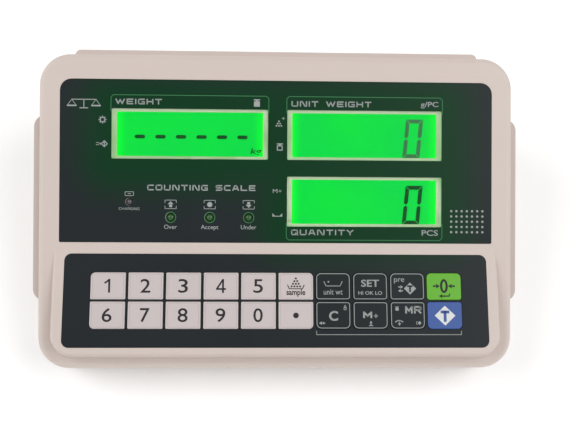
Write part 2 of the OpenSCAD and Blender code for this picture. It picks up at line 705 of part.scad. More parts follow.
module loadcell_socket() color(METAL) on_back(cell_x) {
    cylinder(r = cell_r + 2.6, h = flange_out);
    translate([0, 0, flange_out]) difference() {
        cylinder(r = cell_r, h = cell_len);
        translate([0, 0, cell_len - 1.5]) cylinder(r = cell_r - 1.4, h = 1.5 + PAST);
    }
    translate([0, 0, -cell_inside]) cylinder(r = cell_r, h = cell_inside);
    translate([0, 0, -cell_inside - 4]) cylinder(r = cell_r - 2.5, h = 4);
}

module loadcell_nut() color(METAL) on_back(cell_x) translate([0, 0, pocket_depth - wall - 3]) difference() {
    cylinder(r = cell_r + 3.6, h = 3, $fn = 6);
    translate([0, 0, -PAST]) cylinder(r = cell_r + FIT, h = 3 + 2 * PAST);
}

module serial_socket() color(METAL) on_back(serial_x) difference() {
    union() {
        plate(2 * serial_post_x + 6.5, serial_h + 2, 1, same(1.5));
        plate(serial_shell_w, serial_shell_h, 6, same(2.2));
        translate([0, 0, -8]) plate(serial_w, serial_h, 8, same(1));
    }
    translate([0, 0, 5.2]) plate(serial_shell_w - 1, serial_shell_h - 1, PAST, same(1.7));
    for (sx = [-1, 1]) translate([sx * serial_post_x, 0, -PAST])
        cylinder(r = small_screw_r + FIT, h = 3 * PAST);
}

module serial_posts() color(METAL) on_back(serial_x) for (sx = [-1, 1])
    translate([sx * serial_post_x, 0, 0]) {
    translate([0, 0, 1]) cylinder(r = 2.6, h = 4.5, $fn = 6);
    translate([0, 0, -4]) cylinder(r = small_screw_r, h = 5);
}

// Plastic inserts with the contact holes of both sockets
module socket_inserts() color([0.1, 0.1, 0.11]) {
    on_back(cell_x) translate([0, 0, flange_out + cell_len - 1.5]) difference() {
        cylinder(r = cell_r - 1.4 - FIT, h = 0.9);
        for (k = [0 : 4]) rotate([0, 0, 72 * k]) translate([3.6, 0, 0.3]) cylinder(r = 0.7, h = PAST);
    }
    on_back(serial_x) translate([0, 0, 5.2]) difference() {
        plate(serial_shell_w - 1.1, serial_shell_h - 1.1, 0.7, same(1.6));
        for (row = [0, 1], k = [0 : 4 - row]) translate([(k - (4 - row) / 2) * 2.77, (row - 0.5) * 2.84, 0.2])
            cylinder(r = 0.55, h = PAST);
    }
}

module power_inlet() color([0.13, 0.13, 0.14]) on_back(inlet_x) {
    difference() {
        union() {
            cylinder(r = inlet_thread_r + 2, h = 2);
            translate([0, 0, -12]) cylinder(r = inlet_thread_r, h = 12);
        }
        translate([0, 0, -9]) cylinder(r = inlet_bore_r, h = 11 + PAST);
    }
    translate([0, 0, -9.5]) cylinder(r = 1, h = 9);
    translate([0, 0, pocket_depth - wall - 2.5]) difference() {
        cylinder(r = inlet_thread_r + 2.4, h = 2.5, $fn = 6);
        cylinder(r = inlet_thread_r - 1, h = 2.5);
    }
}

module power_switch() color([0.08, 0.08, 0.09]) on_back(rocker_x) difference() {
    union() {
        plate(rocker_body_w + 2, rocker_body_h + 2, 1.6, same(1));
        translate([0, 0, -rocker_body_d]) plate(rocker_body_w, rocker_body_h, rocker_body_d, same(0.5));
        for (k = [-1 : 1]) translate([0, 7 * k, -rocker_body_d - 5]) block([4.8, 0.8, 6]);
    }
    translate([0, 0, -rocker_body_d + 2.5]) block([rocker_w + 0.4, 2 * rocker_r + 0.6, rocker_body_d]);
    translate([-rocker_w / 2 - 1, 0, -rocker_pivot_in]) rotate([0, 90, 0])
        cylinder(r = trunnion_r + FIT, h = rocker_w + 2);
}

module power_rocker() color([0.05, 0.05, 0.05]) on_back(rocker_x) translate([0, 0, -rocker_pivot_in])
    rotate([rocker_angle, 0, 0]) {
        translate([-rocker_w / 2, 0, 0]) rotate([90, 0, 90]) linear_extrude(rocker_w) intersection() {
            circle(r = rocker_r);
            rise = rocker_r * tan(rocker_angle);
            polygon([[-rocker_r, -3], [rocker_r, -3], [rocker_r, rocker_rise + rise], [0, rocker_rise],
                [-rocker_r, rocker_rise + rise]]);
        }
        translate([-rocker_w / 2 - 0.8, 0, 0]) rotate([0, 90, 0])
            cylinder(r = trunnion_r, h = rocker_w + 1.6);
    }

module bracket_inserts() color([0.8, 0.65, 0.3]) at_inserts() difference() {
    translate([0, 0, 0.2]) cylinder(r = insert_r, h = insert_len - 0.2);
    translate([0, 0, -PAST]) cylinder(r = insert_bore_r, h = insert_len + 2 * PAST);
}

module feet() color([0.12, 0.12, 0.12]) at_feet() rotate_extrude()
    polygon(concat([[0, 0]], arc(foot_r - 1, 1, 1, -90, 0), [[foot_r, foot_h + foot_sink], [0, foot_h + foot_sink]]));

module case_screws() color(METAL) at_case_corners() translate([0, 0, -boss_floor]) difference() {
    union() {
        cylinder(r = screw_r, h = screw_len);
        translate([0, 0, -head_h]) cylinder(r = head_r, h = head_h);
    }
    for (k = [0, 1]) translate([0, 0, -head_h - PAST]) rotate([0, 0, 90 * k]) block([3.6, 0.8, 1 + PAST]);
}

// A board screw with its head below Z = 0
module small_screw(grip) {
    translate([0, 0, -grip]) cylinder(r = small_screw_r, h = small_screw_len);
    translate([0, 0, -grip - small_head_h]) cylinder(r = small_head_r, h = small_head_h);
}

module board_screws() color(METAL) {
    on_face() at_display_posts() small_screw(board_t);
    on_keypad() at_keypad_posts() small_screw(board_t);
    at_main_posts() translate([0, 0, main_top - board_t]) mirror([0, 0, 1]) small_screw(board_t);
    at_strap_bosses() translate([0, 0, strap_boss_h]) mirror([0, 0, 1]) small_screw(strap_t);
}

front_shell();
rear_shell();
display_overlay();
display_windows();
keypad_overlay();
for (row = [0, 1], column = [0 : COLUMNS - 1])
    key(row, column);
lcd(0);  // lcd_weight
lcd(1);  // lcd_unit_weight
lcd(2);  // lcd_quantity
backlights();
status_lamps();
charging_lamp();
display_board();
keypad_board();
key_switches();
display_ribbon();
keypad_ribbon();
main_board();
board_parts();
buzzer();
battery();
battery_strap();
battery_leads();
loadcell_socket();
loadcell_nut();
serial_socket();
serial_posts();
socket_inserts();
power_inlet();
power_switch();
power_rocker();
bracket_inserts();
feet();
case_screws();
board_screws();
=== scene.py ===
"""Looks of a counting scale's desk indicator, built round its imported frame.

Flat prints are drawn in millimetres on a sheet at the origin and then laid on the face, on the keypad or on a key.
"""

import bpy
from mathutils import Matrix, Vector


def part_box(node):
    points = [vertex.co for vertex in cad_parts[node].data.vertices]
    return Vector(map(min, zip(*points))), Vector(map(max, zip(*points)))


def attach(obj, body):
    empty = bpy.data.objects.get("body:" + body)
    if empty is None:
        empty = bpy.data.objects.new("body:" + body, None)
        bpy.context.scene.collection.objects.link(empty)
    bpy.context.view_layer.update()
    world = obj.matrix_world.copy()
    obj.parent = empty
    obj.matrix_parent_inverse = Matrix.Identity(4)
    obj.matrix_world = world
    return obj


bl_info = {
    "name": "Counting Scale Indicator",
    "version": (1, 0, 0),
    "blender": (4, 5, 0),
    "location": "3D View > Sidebar > Indicator",
    "description": "Finishes, prints and studio stage of a counting scale's desk indicator",
    "category": "Object",
}

import math
from contextlib import contextmanager

import bpy
from mathutils import Matrix, Vector

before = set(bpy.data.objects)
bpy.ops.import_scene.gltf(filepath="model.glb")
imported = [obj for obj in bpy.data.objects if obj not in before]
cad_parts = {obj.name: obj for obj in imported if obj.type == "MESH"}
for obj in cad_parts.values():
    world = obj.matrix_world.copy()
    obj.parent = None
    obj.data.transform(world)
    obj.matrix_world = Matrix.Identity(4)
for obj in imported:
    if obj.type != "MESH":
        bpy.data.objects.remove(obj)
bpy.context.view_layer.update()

MM = 0.001
BODY = "housing"
FACE_TILT = math.radians(20)
PAD_TILT = math.radians(10.5)
FOLD_DOWN = 87.4
PANEL_GAP_IN = 0.05
PANEL_TOP = -0.2
PANEL_LOW = -1.2
LCD_TOP = -3.1

KEYS = (
    ("key_1", "key_2", "key_3", "key_4", "key_5", "key_sample",
     "key_unit_weight", "key_set", "key_preset_tare", "key_zero"),
    ("key_6", "key_7", "key_8", "key_9", "key_0", "key_point",
     "key_clear", "key_memory_add", "key_memory_recall", "key_tare"),
)
DARK_KEYS = ("key_unit_weight", "key_set", "key_preset_tare", "key_clear", "key_memory_add", "key_memory_recall")


# --- Frames of reference ---

def face_place():
    """The face's frame: X across, Y up the slope from the panel's top edge, Z out of the face."""
    low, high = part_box("display_overlay")
    sine, cosine = math.sin(FACE_TILT), math.cos(FACE_TILT)
    y = high.y + (PANEL_GAP_IN * cosine + PANEL_LOW * sine) * MM
    z = high.z + (PANEL_GAP_IN * sine - PANEL_TOP * cosine) * MM
    return Matrix.Translation((0, y, z)) @ Matrix.Rotation(FACE_TILT, 4, "X")


FACE = face_place()
PAD = FACE @ Matrix.Translation((0, -FOLD_DOWN * MM, 0)) @ Matrix.Rotation(-PAD_TILT, 4, "X")


def local_box(node, place):
    """Lowest and highest corner of a CAD node in a frame of reference, in millimetres."""
    back = place.inverted()
    corners = [back @ v.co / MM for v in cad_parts[node].data.vertices]
    return [Vector([pick(c[i] for c in corners) for i in range(3)]) for pick in (min, max)]


def middle(node, place):
    """Middle of a node's outer side in a frame of reference, in millimetres."""
    low, high = local_box(node, place)
    return Vector(((low.x + high.x) / 2, (low.y + high.y) / 2, high.z))


# --- Sizes and colours that a user would change ---

def colour(name, description, value):
    return bpy.props.FloatVectorProperty(
        name=name, description=description, default=value, subtype="COLOR", size=3, min=0, max=1)


def number(name, description, value, low, high, unit="NONE"):
    return bpy.props.FloatProperty(
        name=name, description=description, default=value, min=low, max=high, unit=unit)


class FinishSettings(bpy.types.PropertyGroup):
    """Colours of the indicator's surfaces."""

    shell: colour("Shell", "Moulded housing", (0.555, 0.475, 0.435))
    panel: colour("Panel", "Printed panels", (0.0130, 0.0170, 0.0195))
    # Colour of the green glow painted on the panel beside the displays.
    glow: colour("Glow", "Green light in the panel beside the displays", (0.0, 0.033, 0.009))
    lcd: colour("Display", "Lit display", (0.0, 0.80, 0.052))
    white_key: colour("White keys", "Number keys", (0.51, 0.452, 0.445))
    green_key: colour("Green key", "Zero key", (0.095, 0.365, 0.006))
    blue_key: colour("Blue key", "Tare key", (0.024, 0.075, 0.28))
    ink: colour("Light ink", "Light prints", (0.29, 0.315, 0.305))
    dark_ink: colour("Dark ink", "Dark prints", (0.022, 0.020, 0.024))
    lcd_strength: number("Display light", "Brightness of the lit displays", 1.0, 0, 10)


class PrintSettings(bpy.types.PropertyGroup):
    """Sizes of the prints, in millimetres."""

    ink_t: number("Ink", "Thickness of the ink", 0.03, 0.005, 0.2)
    box_line: number("Title line", "Line round a display and its title", 0.34, 0.1, 1)
    key_line: number("Key line", "Line round a dark key", 0.36, 0.1, 1)
    digit_h: number("Key digits", "Height of the digits on the keys", 7.1, 3, 10)
    digit_bold: number("Digit weight", "How much bolder the key digits are drawn", 0.06, 0, 0.4)
    title_h: number("Titles", "Height of the display titles", 2.95, 1, 5)
    title_line: number("Title stroke", "Stroke of the display titles", 0.62, 0.2, 1)
    segment_h: number("Display digits", "Height of the display digits", 20.4, 5, 25)
    segment_w: number("Digit width", "Width of the display digits", 9.1, 3, 12)
    segment_t: number("Segment", "Thickness of the display segments", 2.1, 0.5, 4)


class StageSettings(bpy.types.PropertyGroup):
    """Floor, lights and camera."""

    floor: number("Floor", "Width of the floor", 6.0, 1, 20, "LENGTH")
    key_light: number("Left light", "Power of the large light at the left", 17.5, 0, 500, "POWER")
    side_light: number("Right light", "Power of the large light at the right", 17.5, 0, 500, "POWER")
    front_light: number("Front light", "Power of the low light in front", 4.0, 0, 500, "POWER")
    sky: number("Sky", "Strength of the plain surroundings", 0.42, 0, 5)
    lens: number("Lens", "Focal length on a 36 mm sensor", 60.02, 10, 200, "CAMERA")


def finish():
    return bpy.context.scene.indicator_finish


def sizes():
    return bpy.context.scene.indicator_prints


# --- Node groups shared by the materials ---

def new_group(name, inputs, outputs):
    """A shader node group with named sockets, its input node and its output node."""
    group = bpy.data.node_groups.new(name, "ShaderNodeTree")
    for label, kind, value in inputs:
        socket = group.interface.new_socket(label, in_out="INPUT", socket_type=kind)
        if value is not None:
            socket.default_value = value
    for label, kind in outputs:
        group.interface.new_socket(label, in_out="OUTPUT", socket_type=kind)
    return group, group.nodes.new("NodeGroupInput"), group.nodes.new("NodeGroupOutput")


def add(tree, kind, **values):
    """A node with its properties set, and its inputs set where the name is a socket's."""
    node = tree.nodes.new(kind)
    for key, value in values.items():
        label = key.replace("_", " ").title()
        if hasattr(node, key):
            setattr(node, key, value)
        else:
            node.inputs[label].default_value = value
    return node


def feed(tree, slot, value):
    """Links a socket to an input, or sets the input to a plain value."""
    if isinstance(value, bpy.types.NodeSocket):
        tree.links.new(value, slot)
    else:
        slot.default_value = value


def mixed(tree, factor, a, b):
    """The mix of two colours, or of the sockets that carry them."""
    mix = add(tree, "ShaderNodeMix", data_type="RGBA")
    tree.links.new(factor, mix.inputs["Factor"])
    for label, value in (("A", a), ("B", b)):
        feed(tree, mix.inputs[label], value if isinstance(value, bpy.types.NodeSocket) else (*value, 1))
    return mix.outputs["Result"]


def reckon(tree, operation, *values, kind="Math", out="Value"):
    """The outcome of a math node whose inputs are sockets or plain values."""
    node = add(tree, f"ShaderNode{kind}", operation=operation)
    for slot, value in zip(node.inputs, values):
        feed(tree, slot, value)
    return node.outputs[out]


def moulded_grain():
    """Fine moulded texture: a height, and a mask of small cloudy patches."""
    group, start, end = new_group(
        "Moulded Grain",
        [("Scale", "NodeSocketFloat", 900.0), ("Patches", "NodeSocketFloat", 25.0)],
        [("Height", "NodeSocketFloat"), ("Cloud", "NodeSocketFloat")])
    place = add(group, "ShaderNodeTexCoord")
    fine = add(group, "ShaderNodeTexNoise", detail=3.0, roughness=0.6)
    cloud = add(group, "ShaderNodeTexNoise", detail=4.0, roughness=0.55)
    links = group.links
    for noise, size in ((fine, "Scale"), (cloud, "Patches")):
        links.new(place.outputs["Object"], noise.inputs["Vector"])
        links.new(start.outputs[size], noise.inputs["Scale"])
    links.new(fine.outputs["Fac"], end.inputs["Height"])
    links.new(cloud.outputs["Fac"], end.inputs["Cloud"])
    return group


MARKED_CELLS = 0.82


def specks():
    """A mask of sparse small marks, as dust and moulding flecks leave."""
    group, start, end = new_group(
        "Specks",
        [("Scale", "NodeSocketFloat", 120.0), ("Size", "NodeSocketFloat", 0.06)],
        [("Mask", "NodeSocketFloat")])
    place = add(group, "ShaderNodeTexCoord")
    cells = add(group, "ShaderNodeTexVoronoi", feature="F1")
    split = add(group, "ShaderNodeSeparateColor")
    links = group.links
    links.new(place.outputs["Object"], cells.inputs["Vector"])
    links.new(start.outputs["Scale"], cells.inputs["Scale"])
    links.new(cells.outputs["Color"], split.inputs["Color"])
    chosen = reckon(group, "GREATER_THAN", split.outputs["Red"], MARKED_CELLS)
    near = reckon(group, "LESS_THAN", cells.outputs["Distance"], start.outputs["Size"])
    links.new(reckon(group, "MULTIPLY", chosen, near), end.inputs["Mask"])
    return group


def shared(name, maker):
    """A node group by name, made once."""
    return bpy.data.node_groups.get(name) or maker()


# --- Materials ---

def new_material(name, **constants):
    """A material with its Principled shader, constants set on the shader's own sockets."""
    material = bpy.data.materials.new(name)
    material.use_nodes = True
    shader = material.node_tree.nodes["Principled BSDF"]
    for key, value in constants.items():
        shader.inputs[key.replace("_", " ")].default_value = value
    return material, material.node_tree, shader


UNLIT = (0, 0, 0)
# Painted light: the green glow on the dark panel round the displays, as its base tint and its emission.
PAINTED_GLOW_BASE = (0.0005, 0.003, 0.0015)
PANEL_GLOW_REACH, PANEL_GLOW_FADE = 0.042, 2.0
# Painted light: the displays' green light on the shell's ledges round them.
PAINTED_LEDGE_GLOW, LEDGE_GLOW_REACH = (0.07, 0.22, 0.055), 0.004
# Painted light on the floor: faint near the model, stronger far out.
FLOOR_LIGHT, BACKDROP_LIGHT = (0.1, 0.1, 0.1), (0.6, 0.6, 0.6)
FLOOR_MIDDLE, FLOOR_REACH = Vector((0.35, 0.35, 0.35)), 2.2
DISPLAY_END = 8.5 * MM
ROUGH_DRIFT, GRAIN_DEPTH = 0.06, 0.0002


def moulded(name, tint, rough=0.45, bump=0.05, scale=900.0, vary=0.04, shine=0.5, speck=0.0,
            speck_tint=(0.2, 0.18, 0.16)):
    """A moulded or painted surface: fine grain in the bump, cloudy colour and roughness, and flecks."""
    material, tree, shader = new_material(name, Specular_IOR_Level=shine)
    grain = add(tree, "ShaderNodeGroup", node_tree=shared("Moulded Grain", moulded_grain), scale=scale)
    tone = mixed(tree, grain.outputs["Cloud"],
                 [c * (1 - vary) for c in tint], [min(1, c * (1 + vary)) for c in tint])
    gloss = add(tree, "ShaderNodeMapRange", to_min=rough - ROUGH_DRIFT, to_max=rough + ROUGH_DRIFT)
    height = add(tree, "ShaderNodeBump", strength=bump, distance=GRAIN_DEPTH)
    links = tree.links
    links.new(grain.outputs["Cloud"], gloss.inputs["Value"])
    links.new(grain.outputs["Height"], height.inputs["Height"])
    links.new(gloss.outputs["Result"], shader.inputs["Roughness"])
    links.new(height.outputs["Normal"], shader.inputs["Normal"])
    if speck:
        flecks = add(tree, "ShaderNodeGroup", node_tree=shared("Specks", specks), size=speck)
        tone = mixed(tree, flecks.outputs["Mask"], tone, speck_tint)
    links.new(tone, shader.inputs["Base Color"])
    return material


def metal(name, tint, rough=0.3):
    """Turned or plated metal with a faint drift in its polish."""
    material = moulded(name, tint, rough, bump=0.08, scale=1500.0, vary=0.06)
    material.node_tree.nodes["Principled BSDF"].inputs["Metallic"].default_value = 1.0
    return material


def glow_mask(tree, places, reach, fade):
    """A mask that falls off round boxes given by their middle and half size, in metres, in the model's frame."""
    where = add(tree, "ShaderNodeTexCoord").outputs["Object"]

    def vectors(operation, *values, out="Vector"):
        return reckon(tree, operation, *values, kind="VectorMath", out=out)

    mask = 0.0
    for centre, half in places:
        offset = vectors("ABSOLUTE", vectors("SUBTRACT", where, centre))
        beyond = vectors("MAXIMUM", vectors("SUBTRACT", offset, half), (0, 0, 0))
        near = add(tree, "ShaderNodeMapRange", interpolation_type="SMOOTHERSTEP", from_max=reach, to_min=1, to_max=0)
        tree.links.new(vectors("LENGTH", beyond, out="Value"), near.inputs["Value"])
        mask = reckon(tree, "MAXIMUM", mask, near.outputs["Result"])
    return reckon(tree, "POWER", mask, fade)


def display_places():
    """Middle and half size of each display, in metres."""
    boxes = [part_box(node) for node in ("lcd_weight", "lcd_unit_weight", "lcd_quantity")]
    return [((low + high) / 2, (high - low) / 2) for low, high in boxes]


def give_light(tree, mask, a, b):
    """Paints light on a surface: it shines with a mix of two colours."""
    shader = tree.nodes["Principled BSDF"]
    tree.links.new(mixed(tree, mask, a, b), shader.inputs["Emission Color"])
    shader.inputs["Emission Strength"].default_value = 1.0


def panel_material(name):
    """Dark printed sheet with painted light: a green glow round the displays, in its base tint and its emission."""
    look = finish()
    material = moulded(name, look.panel, rough=0.36, bump=0.03, scale=1400.0, vary=0.10)
    tree = material.node_tree
    shader = tree.nodes["Principled BSDF"]
    mask = glow_mask(tree, display_places(), PANEL_GLOW_REACH, PANEL_GLOW_FADE)
    base = shader.inputs["Base Color"].links[0].from_socket
    tree.links.new(mixed(tree, mask, base, PAINTED_GLOW_BASE), shader.inputs["Base Color"])
    give_light(tree, mask, UNLIT, look.glow)
    shader.inputs["Specular IOR Level"].default_value = 0.17
    return material


def shell_material():
    """Warm white plastic with a little green light painted on the ledges round the displays."""
    material = moulded("Warm White Plastic", finish().shell, rough=0.50, bump=0.10, scale=1300.0, vary=0.025,
                       speck=0.045, speck_tint=(0.30, 0.26, 0.23))
    tree = material.node_tree
    give_light(tree, glow_mask(tree, display_places(), LEDGE_GLOW_REACH, 1.0), UNLIT, PAINTED_LEDGE_GLOW)
    return material


def floor_material():
    """Pale floor with painted light: a faint glow near the model that lifts its shadow, stronger far out, as a
    studio's lit backdrop looks.
    """
    material = moulded("Plain Floor", (0.92, 0.92, 0.92), rough=0.8, bump=0.0, vary=0.004)
    tree = material.node_tree
    give_light(tree, glow_mask(tree, [(Vector(), FLOOR_MIDDLE)], FLOOR_REACH, 1.0), BACKDROP_LIGHT, FLOOR_LIGHT)
    return material


def lcd_material():
    """Lit display glass: green light that drifts a little, brighter at the two ends where its lamps are."""
    look = finish()
    material, tree, shader = new_material(
        "Display Glass", Roughness=0.3, Specular_IOR_Level=0.1, Base_Color=(0.001, 0.03, 0.004, 1),
        Emission_Strength=look.lcd_strength)
    place = add(tree, "ShaderNodeTexCoord")
    cloud = add(tree, "ShaderNodeTexNoise", scale=22.0, detail=2.0)
    drift = add(tree, "ShaderNodeMapRange", from_min=0.35, from_max=0.70)
    links = tree.links
    links.new(place.outputs["Object"], cloud.inputs["Vector"])
    links.new(cloud.outputs["Fac"], drift.inputs["Value"])

    def tone(green, blue):
        return look.lcd[0], look.lcd[1] * green, look.lcd[2] * blue

    inner = [(centre, Vector((half.x - DISPLAY_END, 1, 1))) for centre, half in display_places()]
    light = mixed(tree, drift.outputs["Result"], tone(0.84, 1.25), tone(0.96, 0.8))
    lit = mixed(tree, glow_mask(tree, inner, DISPLAY_END, 1.0), tone(1.25, 0.6), light)
    links.new(lit, shader.inputs["Emission Color"])
    return material


def clear_material(name, tint, rough=0.02):
    """Clear or tinted plastic whose roughness drifts a little."""
    material, tree, shader = new_material(name, Transmission_Weight=1.0, IOR=1.15, Base_Color=(*tint, 1))
    grain = add(tree, "ShaderNodeGroup", node_tree=shared("Moulded Grain", moulded_grain))
    gloss = add(tree, "ShaderNodeMapRange", to_min=rough, to_max=rough + 0.04)
    tree.links.new(grain.outputs["Cloud"], gloss.inputs["Value"])
    tree.links.new(gloss.outputs["Result"], shader.inputs["Roughness"])
    return material


def ink_material(name, tint):
    """Screen-printed ink, slightly uneven."""
    return moulded(name, tint, rough=0.5, bump=0.02, scale=2500.0, vary=0.08, shine=0.2)


MATERIALS = {}


def material(name):
    """A material by name, made on first use."""
    look = finish()
    makers = {
        "shell": shell_material,
        "panel": lambda: panel_material("Printed Panel"),
        "window": lambda: clear_material("Clear Window", (0.93, 1.0, 0.95)),
        "lcd": lcd_material,
        "key_white": lambda: moulded("White Key", look.white_key, rough=0.42, bump=0.05, vary=0.02),
        # The dark keys share the panel's painted green glow near the displays.
        "key_dark": lambda: panel_material("Dark Key"),
        "key_green": lambda: moulded("Green Key", look.green_key, rough=0.38, bump=0.05, vary=0.04),
        "key_blue": lambda: moulded("Blue Key", look.blue_key, rough=0.38, bump=0.05, vary=0.04),
        "light_ink": lambda: ink_material("Light Ink", look.ink),
        "bright_ink": lambda: ink_material("Bright Ink", (0.62, 0.64, 0.62)),
        "dark_ink": lambda: ink_material("Dark Ink", look.dark_ink),
        "grey_ink": lambda: ink_material("Grey Ink", (0.10, 0.095, 0.09)),
        # Painted shade along the white keys' raised rims.
        "rim_shade_ink": lambda: ink_material("Key Rim", [c * 0.86 for c in look.white_key]),
        "green_ink": lambda: ink_material("Green Line", (0.045, 0.19, 0.075)),
        "segment_dark": lambda: ink_material("Display Segment", (0.001, 0.075, 0.010)),
        "segment_pale": lambda: ink_material("Pale Display Segment", (0.055, 0.20, 0.085)),
        "lamp_green": lambda: moulded("Green Lamp", (0.022, 0.085, 0.020), rough=0.25, bump=0.02, vary=0.15),
        "lamp_dark": lambda: moulded("Smoked Lamp", (0.075, 0.080, 0.080), rough=0.22, bump=0.02, vary=0.15),
        "board": lambda: moulded("Circuit Board", (0.010, 0.13, 0.05), rough=0.35, vary=0.2),
        "dark_plastic": lambda: moulded("Black Plastic", (0.022, 0.022, 0.025), rough=0.42, bump=0.10),
        "gloss_black": lambda: moulded("Glossy Black Plastic", (0.012, 0.012, 0.013), rough=0.22, bump=0.02),
        "light_box": lambda: moulded("Light Box", (0.75, 0.80, 0.74), rough=0.6),
        "ribbon": lambda: moulded("Grey Ribbon", (0.38, 0.38, 0.40), rough=0.5),
        "battery": lambda: moulded("Battery Wrap", (0.045, 0.05, 0.065), rough=0.45, bump=0.12),
        "lead": lambda: moulded("Red Lead", (0.42, 0.02, 0.02), rough=0.4),
        "rubber": lambda: moulded("Black Rubber", (0.020, 0.020, 0.021), rough=0.75, bump=0.25),
        "zinc": lambda: metal("Zinc Plated Steel", (0.60, 0.60, 0.61), 0.34),
        "nickel": lambda: metal("Nickel Plating", (0.64, 0.62, 0.58), 0.24),
        "brass": lambda: metal("Turned Brass", (0.72, 0.52, 0.22), 0.28),
        "floor": floor_material,
    }
    if name not in MATERIALS:
        MATERIALS[name] = makers[name]()
    return MATERIALS[name]


# --- Sheet drawing ---

@contextmanager
def edit_mode():
    """Edit mode with everything selected, while the block lasts."""
    bpy.ops.object.mode_set(mode="EDIT")
    bpy.ops.mesh.select_all(action="SELECT")
    yield
    bpy.ops.object.mode_set(mode="OBJECT")


def clear_selection():
    if bpy.context.mode != "OBJECT":
        bpy.ops.object.mode_set(mode="OBJECT")
    bpy.ops.object.select_all(action="DESELECT")


def lean(angle):
    """A shear that leans what is upright to the right."""
    matrix = Matrix.Identity(4)
    matrix[0][1] = math.tan(angle)
    return matrix


def place_flat(at, turn=0.0, slant=0.0):
    """Puts the active flat shape on the sheet and applies its place."""
    shape = bpy.context.object
    shape.data.transform(lean(slant))
    shape.location = (at[0], at[1], 0)
    shape.rotation_euler[2] = turn
    bpy.ops.object.transform_apply(location=True, rotation=True, scale=True)
    return shape


def select_corner(mesh, sx, sy):
    """Selects the corner of a rectangle on the given side of its middle, in edit mode."""
    bpy.ops.mesh.select_all(action="DESELECT")
    bpy.ops.object.mode_set(mode="OBJECT")
    best = max(mesh.vertices, key=lambda v: v.co.x * sx + v.co.y * sy)
    best.select = True
    bpy.ops.object.mode_set(mode="EDIT")


def keep_line(line):
    """Leaves only a line along the edge of the shape, in edit mode."""
    bpy.ops.mesh.select_all(action="SELECT")
    bpy.ops.mesh.inset(thickness=line)
    bpy.ops.mesh.delete(type="FACE")


def stretch_to(w, h):
    """Scales the active shape and applies the scale."""
    shape = bpy.context.object
    shape.scale = (w, h, 1)
    bpy.ops.object.transform_apply(location=False, rotation=False, scale=True)
    return shape


def bar(w, h, at=(0, 0), turn=0.0, radii=(), steps=4, line=0.0):
    """A rectangle, or its outline where a line width is given.

    Radii go round from the top right corner by the top left one to the bottom right one.
    """
    clear_selection()
    bpy.ops.mesh.primitive_plane_add(size=1)
    shape = stretch_to(w, h)
    if radii or line:
        with edit_mode():
            for (sx, sy), r in zip(((1, 1), (-1, 1), (-1, -1), (1, -1)), radii):
                if r:
                    select_corner(shape.data, sx * h, sy * w)
                    bpy.ops.mesh.bevel(offset=r, segments=steps, affect="VERTICES", clamp_overlap=False)
            if line:
                keep_line(line)
    return place_flat(at, turn)


def disc(r, at=(0, 0), sides=24, line=0.0, turn=0.0, stretch=(1, 1)):
    """A disc or polygon, or its outline where a line width is given."""
    clear_selection()
    bpy.ops.mesh.primitive_circle_add(vertices=sides, radius=r, fill_type="NGON")
    stretch_to(*stretch)
    if line:
        with edit_mode():
            keep_line(line)
    return place_flat(at, turn)


def stroke(a, b, line):
    """A straight line between two points."""
    (x0, y0), (x1, y1) = a, b
    length = math.hypot(x1 - x0, y1 - y0)
    return bar(length + line * 0.8, line, ((x0 + x1) / 2, (y0 + y1) / 2), math.atan2(y1 - y0, x1 - x0))


def strokes(points, line):
    return [stroke(a, b, line) for a, b in zip(points, points[1:])]


CAP_SHARE = 0.729


def words(text, cap, at, width=None, right=False, bold=0.0, slant=0.0, exact=False):
    """Flat lettering on its base line, about its middle or ending at its right end.

    It has a given capital height and, if stated, width. Exact lettering is as tall as stated whatever its shape.
    """
    clear_selection()
    bpy.ops.object.text_add()
    data = bpy.context.object.data
    data.body = text
    data.size = cap / CAP_SHARE
    data.offset = bold
    data.resolution_u = 4
    bpy.ops.object.convert(target="MESH")
    mesh = bpy.context.object.data
    xs = [v.co.x for v in mesh.vertices]
    low, high = min(xs), max(xs)
    stretch = (width / (high - low)) if width else 1.0
    shift = high if right else (low + high) / 2
    ys = [v.co.y for v in mesh.vertices]
    rise = cap / (max(ys) - min(ys)) if exact else 1.0
    to_origin = Matrix.Translation((-shift, -min(ys) if exact else 0, 0))
    mesh.transform(Matrix.Diagonal((stretch, rise, 1, 1)) @ to_origin)
    return place_flat(at, slant=slant)


